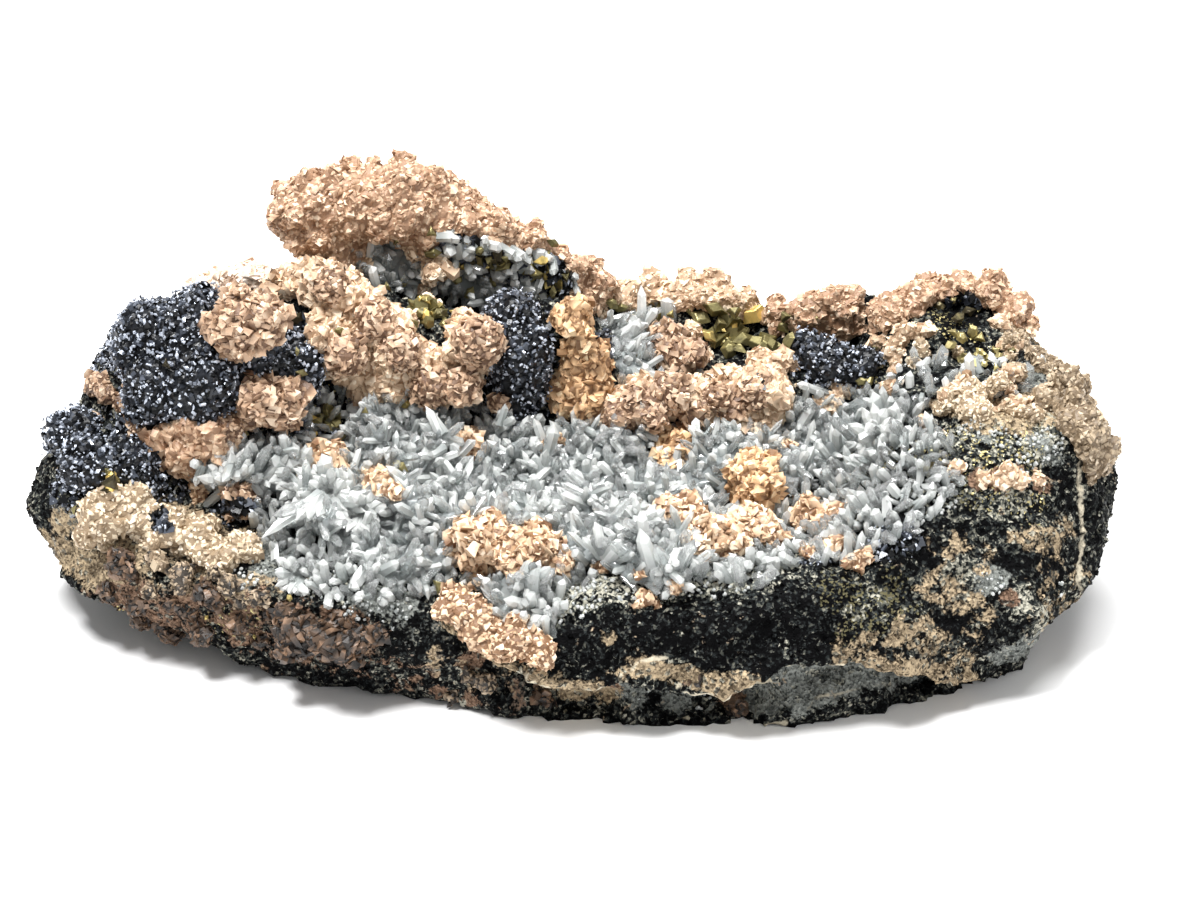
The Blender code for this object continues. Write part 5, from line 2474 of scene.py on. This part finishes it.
NEEDLES = [
    (236, 482, 253, 438, 2.0, 0.3), (250, 480, 274, 442, 1.8, 0.3), (225, 482, 232, 446, 1.7, 0.4),
    (215, 484, 213, 452, 1.6, 0.4), (208, 486, 196, 456, 1.6, 0.4), (200, 486, 184, 465, 1.5, 0.4),
    (262, 482, 291, 452, 1.8, 0.3), (240, 478, 243, 455, 1.8, 0.7), (272, 478, 300, 462, 1.6, 0.4),
    (220, 478, 225, 458, 1.6, 0.8), (206, 505, 228, 488, 1.5, 0.5),
    (325, 495, 264, 536, 2.0, 0.5), (330, 500, 298, 560, 2.0, 0.5), (335, 500, 322, 552, 1.9, 0.6),
    (318, 500, 276, 515, 1.8, 0.6), (322, 490, 282, 485, 1.9, 0.5), (330, 488, 296, 468, 1.9, 0.5),
    (336, 486, 318, 462, 1.7, 0.5), (345, 490, 345, 470, 1.8, 0.7), (350, 500, 372, 508, 1.8, 0.7),
    (340, 505, 345, 545, 1.9, 0.5), (348, 503, 362, 535, 1.7, 0.6), (330, 505, 308, 530, 1.6, 0.9),
    (345, 495, 365, 486, 1.6, 0.8), (340, 495, 330, 480, 1.8, 1.2), (338, 500, 350, 515, 1.8, 1.2),
    (300, 540, 287, 575, 1.6, 0.3), (310, 560, 288, 592, 1.7, 0.3), (330, 560, 300, 566, 1.7, 0.5),
    (372, 560, 353, 588, 2.3, 0.7), (376, 556, 384, 582, 2.2, 0.8), (368, 562, 372, 552, 2.0, 1.2),
    (385, 570, 400, 562, 1.9, 0.8), (404, 572, 414, 556, 2.0, 0.9), (440, 566, 417, 588, 2.2, 0.6),
    (396, 556, 392, 545, 1.6, 1.0), (355, 575, 340, 600, 1.5, 0.5), (345, 570, 336, 582, 1.4, 0.5),
    (497, 525, 505, 491, 2.6, 0.3), (388, 414, 392, 382, 2.1, 0.2), (424, 440, 438, 412, 1.9, 0.4),
    (491, 412, 462, 401, 2.1, 0.4), (641, 312, 641, 280, 2.0, 0.1), (612, 344, 648, 320, 2.4, 0.3),
    (366, 448, 380, 425, 1.8, 0.4), (410, 452, 418, 432, 1.8, 0.5), (548, 452, 556, 424, 2.2, 0.3),
    (520, 440, 530, 416, 2.0, 0.4), (575, 448, 582, 425, 2.0, 0.4), (640, 452, 628, 434, 2.4, 0.6),
    (655, 440, 662, 420, 1.9, 0.4), (800, 425, 812, 405, 2.0, 0.4), (845, 412, 868, 402, 2.6, 0.7),
    (880, 420, 872, 392, 2.4, 0.3), (900, 440, 890, 418, 2.4, 0.5), (893, 425, 906, 398, 2.2, 0.4),
    (855, 440, 840, 425, 2.2, 0.6), (910, 410, 930, 400, 1.8, 0.6), (655, 575, 640, 530, 2.2, 0.3),
    (668, 570, 655, 545, 2.0, 0.5), (680, 565, 694, 540, 2.0, 0.4), (640, 565, 612, 542, 2.0, 0.4),
    (645, 540, 640, 512, 2.0, 0.4), (620, 520, 612, 498, 1.9, 0.4), (740, 582, 735, 556, 2.0, 0.5),
    (728, 580, 715, 562, 1.8, 0.5), (760, 585, 775, 568, 1.6, 0.5), (530, 605, 505, 598, 2.0, 0.5),
    (540, 615, 515, 615, 1.9, 0.5), (545, 605, 548, 585, 1.9, 0.6), (535, 625, 520, 640, 1.8, 0.6),
    (550, 622, 556, 606, 1.8, 0.7), (520, 590, 508, 575, 2.0, 0.6), (533, 588, 536, 568, 2.0, 0.6),
    (470, 272, 465, 240, 2.2, 0.3), (482, 268, 490, 246, 1.6, 0.3), (452, 300, 458, 276, 1.6, 0.3),
    (488, 300, 482, 278, 1.8, 0.3), (540, 295, 545, 272, 1.8, 0.3), (548, 290, 556, 276, 1.4, 0.3),
    (360, 262, 350, 244, 1.6, 0.4), (376, 258, 378, 240, 1.8, 0.4), (392, 266, 402, 250, 1.6, 0.5),
    (376, 285, 372, 265, 2.0, 0.6), (940, 365, 944, 345, 1.8, 0.4), (970, 378, 968, 352, 2.0, 0.4),
    (930, 390, 926, 370, 1.8, 0.4), (985, 390, 990, 378, 1.6, 0.6),
    (1030, 385, 1028, 362, 2.0, 0.3),
    (1045, 370, 1038, 352, 1.6, 0.3), (915, 365, 912, 345, 1.5, 0.4),
    (672, 322, 672, 300, 2.0, 0.2),
    (700, 375, 694, 352, 1.8, 0.3), (660, 385, 650, 370, 1.8, 0.5), (625, 390, 620, 372, 1.6, 0.5),
]
CREST_NEEDLES = [
    (642, 322, 642, 283, 2.0, 0.15), (668, 316, 667, 296, 2.4, 0.3), (655, 308, 660, 296, 1.4, 0.3),
    (618, 345, 646, 322, 2.6, 0.4), (632, 340, 640, 318, 1.8, 0.5), (700, 372, 702, 352, 1.4, 0.4),
    (660, 382, 662, 366, 1.5, 0.4), (648, 378, 644, 362, 1.3, 0.4),
]
FANS = (
    Fan(330, 500, 40, (4.6, 7.4), (1.8, 2.7)),
    Fan(322, 492, 26, (4.0, 6.4), (1.7, 2.5)),
    Fan(300, 474, 20, (3.6, 6.0), (1.6, 2.3), (0.1, 0.7)),
    Fan(362, 515, 20, (3.4, 5.6), (1.6, 2.3), (-0.4, 0.4)),
    Fan(236, 482, 18, (4.0, 6.4), (1.5, 2.2), (0.1, 0.5)),
    Fan(640, 525, 18, (3.5, 5.6), (1.6, 2.3), (0.0, 0.6)),
    Fan(545, 520, 18, (3.5, 5.6), (1.6, 2.3), (0.0, 0.6)),
    Fan(880, 440, 24, (3.5, 6.0), (1.8, 2.5), (0.0, 0.6)),
    Fan(530, 612, 24, (2.5, 4.6), (1.6, 2.3)),
    Fan(300, 575, 12, (3.6, 5.6), (1.5, 2.2), (0.3, 0.8)),
    Fan(740, 575, 10, (2.5, 4.2), (1.4, 2.0), (0.1, 0.5)),
)
CHALCOPYRITE = [
    (295, 317, 1.6, 0.05), (300, 370, 1.1, 0.55), (290, 352, 0.8, 0.4), (340, 336, 0.9, 0.35),
    (168, 366, 1.2, 0.1), (112, 478, 2.0, 0.15), (82, 510, 1.2, 0.5), (242, 432, 1.1, 0.5),
    (402, 465, 1.4, 0.5), (425, 505, 1.2, 0.4), (438, 588, 1.6, 0.5), (292, 600, 0.7, 0.7),
    (208, 613, 0.5, 0.7), (256, 634, 0.5, 0.7), (366, 410, 0.8, 0.6), (408, 402, 1.0, 0.8),
    (395, 240, 1.0, 0.4), (384, 290, 1.2, 0.35), (402, 278, 0.7, 0.9), (378, 276, 0.6, 0.7),
    (432, 232, 1.2, 0.5), (434, 248, 1.5, 0.45), (428, 262, 1.1, 0.4), (444, 262, 1.4, 0.45),
    (462, 266, 1.0, 0.8), (456, 280, 1.0, 0.6), (480, 250, 1.2, 0.5), (498, 266, 1.6, 0.5),
    (504, 256, 1.2, 0.45), (494, 280, 1.1, 0.4), (470, 290, 1.2, 0.55), (442, 298, 1.2, 0.55),
    (425, 318, 1.6, 0.55), (412, 326, 1.2, 0.4), (446, 328, 1.2, 0.5), (450, 314, 0.8, 0.9),
    (435, 312, 1.0, 0.6), (540, 256, 1.5, 0.85), (535, 272, 1.3, 0.6), (566, 278, 1.3, 0.3),
    (548, 246, 1.2, 0.4), (556, 290, 1.0, 0.4), (608, 308, 1.6, 0.45), (622, 302, 1.4, 0.45),
    (628, 316, 1.1, 0.95), (606, 330, 1.0, 0.5), (640, 345, 1.1, 0.3), (655, 322, 1.2, 0.5),
    (670, 314, 1.0, 0.6), (690, 312, 1.0, 0.5), (700, 322, 1.85, 0.4), (692, 335, 1.0, 0.5),
    (715, 310, 2.05, 0.45), (722, 325, 2.05, 0.4), (735, 318, 1.75, 0.35), (712, 336, 1.55, 0.7),
    (740, 338, 1.95, 0.45), (728, 352, 2.05, 0.5), (745, 345, 1.75, 0.85), (758, 322, 2.35, 0.9),
    (770, 335, 2.05, 0.6), (760, 350, 2.25, 0.45), (775, 352, 1.95, 0.5), (785, 330, 2.05, 0.5),
    (795, 345, 1.85, 0.45), (780, 345, 1.85, 0.4), (752, 362, 1.65, 0.5), (790, 318, 1.45, 0.4),
    (800, 335, 1.55, 0.6), (640, 358, 1.0, 0.2), (878, 352, 1.0, 0.5), (862, 380, 1.0, 0.5),
    (768, 348, 2.9, 0.5), (738, 356, 2.4, 0.4), (930, 470, 1.2, 0.3), (340, 440, 0.9, 0.6),
    (316, 436, 0.5, 0.9),
]
PYRITE = [
    (980, 354, 0.9, 0.95), (988, 360, 1.1, 1.0), (994, 366, 0.9, 0.9), (978, 362, 1.0, 0.95),
    (985, 368, 0.8, 0.8), (972, 358, 0.7, 0.9), (996, 352, 1.2, 0.5), (1002, 362, 1.1, 0.45),
    (990, 350, 0.8, 0.7), (950, 335, 1.5, 0.5), (960, 340, 1.4, 0.6), (972, 330, 1.4, 0.5),
    (945, 345, 1.3, 0.4), (980, 340, 1.3, 0.5), (940, 360, 1.2, 0.4), (955, 322, 1.4, 0.2),
    (968, 312, 1.4, 0.15), (940, 310, 1.3, 0.2), (950, 298, 1.1, 0.3), (1012, 352, 1.0, 0.4),
    (820, 318, 1.2, 0.3), (812, 310, 1.0, 0.3), (870, 385, 1.3, 0.4), (880, 372, 1.2, 0.3),
]
GLITTER = (
    CrystalPatch(
        "pyrite_glitter", Slot.PYRITE,
        [
            (850, 460, 2.6), (870, 455, 2.6), (885, 465, 2.6), (925, 445, 3), (945, 435, 3),
            (935, 470, 2.6), (970, 470, 3), (1000, 450, 3.4), (1030, 455, 3), (1010, 475, 3),
            (1030, 505, 2.6), (960, 330, 3), (340, 410, 3.4), (325, 425, 3), (345, 435, 2.4),
            (860, 550, 2.6), (870, 540, 2.4), (810, 455, 1.6), (865, 380, 2), (985, 345, 3),
        ],
        0.85, 0.3, 0.4,
    ),
    CrystalPatch(
        "quartz_grains", Slot.QUARTZ,
        [
            (545, 590, 2.6), (565, 595, 2.6), (590, 592, 2.6), (615, 588, 2.4), (640, 588, 2.4),
            (665, 588, 2.2), (690, 585, 2.2), (715, 585, 2.2), (740, 582, 2.2), (765, 575, 2),
            (560, 612, 2), (585, 608, 1.8), (575, 575, 2), (700, 565, 2), (1030, 450, 3),
            (1050, 440, 2.6), (1000, 440, 2), (970, 430, 2), (1015, 470, 2), (940, 500, 2.4),
            (920, 510, 2.4), (990, 585, 2), (1060, 590, 1.2), (395, 610, 2.4), (360, 605, 2.4),
            (250, 575, 2.4), (320, 585, 3), (700, 700, 1.4), (640, 690, 1.6),
        ],
        0.9, 0.75, 0.7,
    ),
    CrystalPatch(
        "sphalerite_patches", Slot.SPHALERITE,
        [
            (90, 440, 6), (120, 460, 5), (80, 480, 5), (150, 440, 4), (165, 480, 4),
            (120, 350, 6), (160, 320, 6), (200, 310, 5), (190, 360, 7), (230, 400, 6),
            (240, 350, 5), (285, 340, 5), (310, 345, 4), (270, 360, 4), (225, 440, 3),
            (290, 430, 5), (320, 445, 4), (310, 400, 4), (520, 330, 5), (520, 370, 5),
            (525, 400, 4), (470, 400, 3), (820, 365, 5), (850, 365, 4), (880, 545, 3),
            (905, 540, 2.4), (620, 350, 3), (605, 345, 2.4), (520, 280, 3.4), (490, 292, 2.4),
            (580, 360, 3), (250, 510, 2.4), (225, 515, 2), (815, 560, 2), (740, 555, 1.8),
        ],
        1.02, 0.9,
    ),
)


def main() -> None:
    """Builds the specimen and its studio."""
    logging.basicConfig(level=logging.INFO, format="%(name)s: %(message)s")
    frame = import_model()
    shop = Workshop(frame["nodes"], random.Random(SEED))
    Studio().build()
    ore = OreBlock(zones=ZONES, behind=BEHIND, veins=VEINS)
    block = ore.build(shop)
    ore.grit(shop, block)
    for crust in CRUSTS:
        crust.build(shop)
    for node in ("mound", "left_end", "column", "saddle"):
        BlackMass(f"sphalerite_{node}").build(shop)
    for name in QUARTZ:
        QuartzCrust(f"quartz_{name}").build(shop)
    for node in ("back_hollow", "valley_left", "valley_right", "left_end", "ridge_foot"):
        BrassyCluster(f"chalcopyrite_{node}").build(shop)
    BrassyCluster("pyrite_right_hollow", Slot.PYRITE).build(shop)
    QuartzCarpet("quartz_carpet", BASIN).build(shop, block.data)
    ground = tree_of([block.data] + [frame["nodes"][f"quartz_{name}"].data for name in QUARTZ])
    for lumps in LUMPS:
        lumps.build(shop, ground)
    ROSETTES.build(shop, shop.whole)
    Needles("quartz_needles", NEEDLES, FANS).build(shop, ground)
    Needles("quartz_crest_needles", CREST_NEEDLES).build(shop, shop.whole)
    Wedges("chalcopyrite_wedges", Slot.CHALCOPYRITE, CHALCOPYRITE).build(shop, shop.whole)
    Wedges("pyrite_wedges", Slot.PYRITE, PYRITE).build(shop, shop.whole)
    for patch in GLITTER:
        patch.build(shop, block.data)


if __name__ == "__main__":
    main()
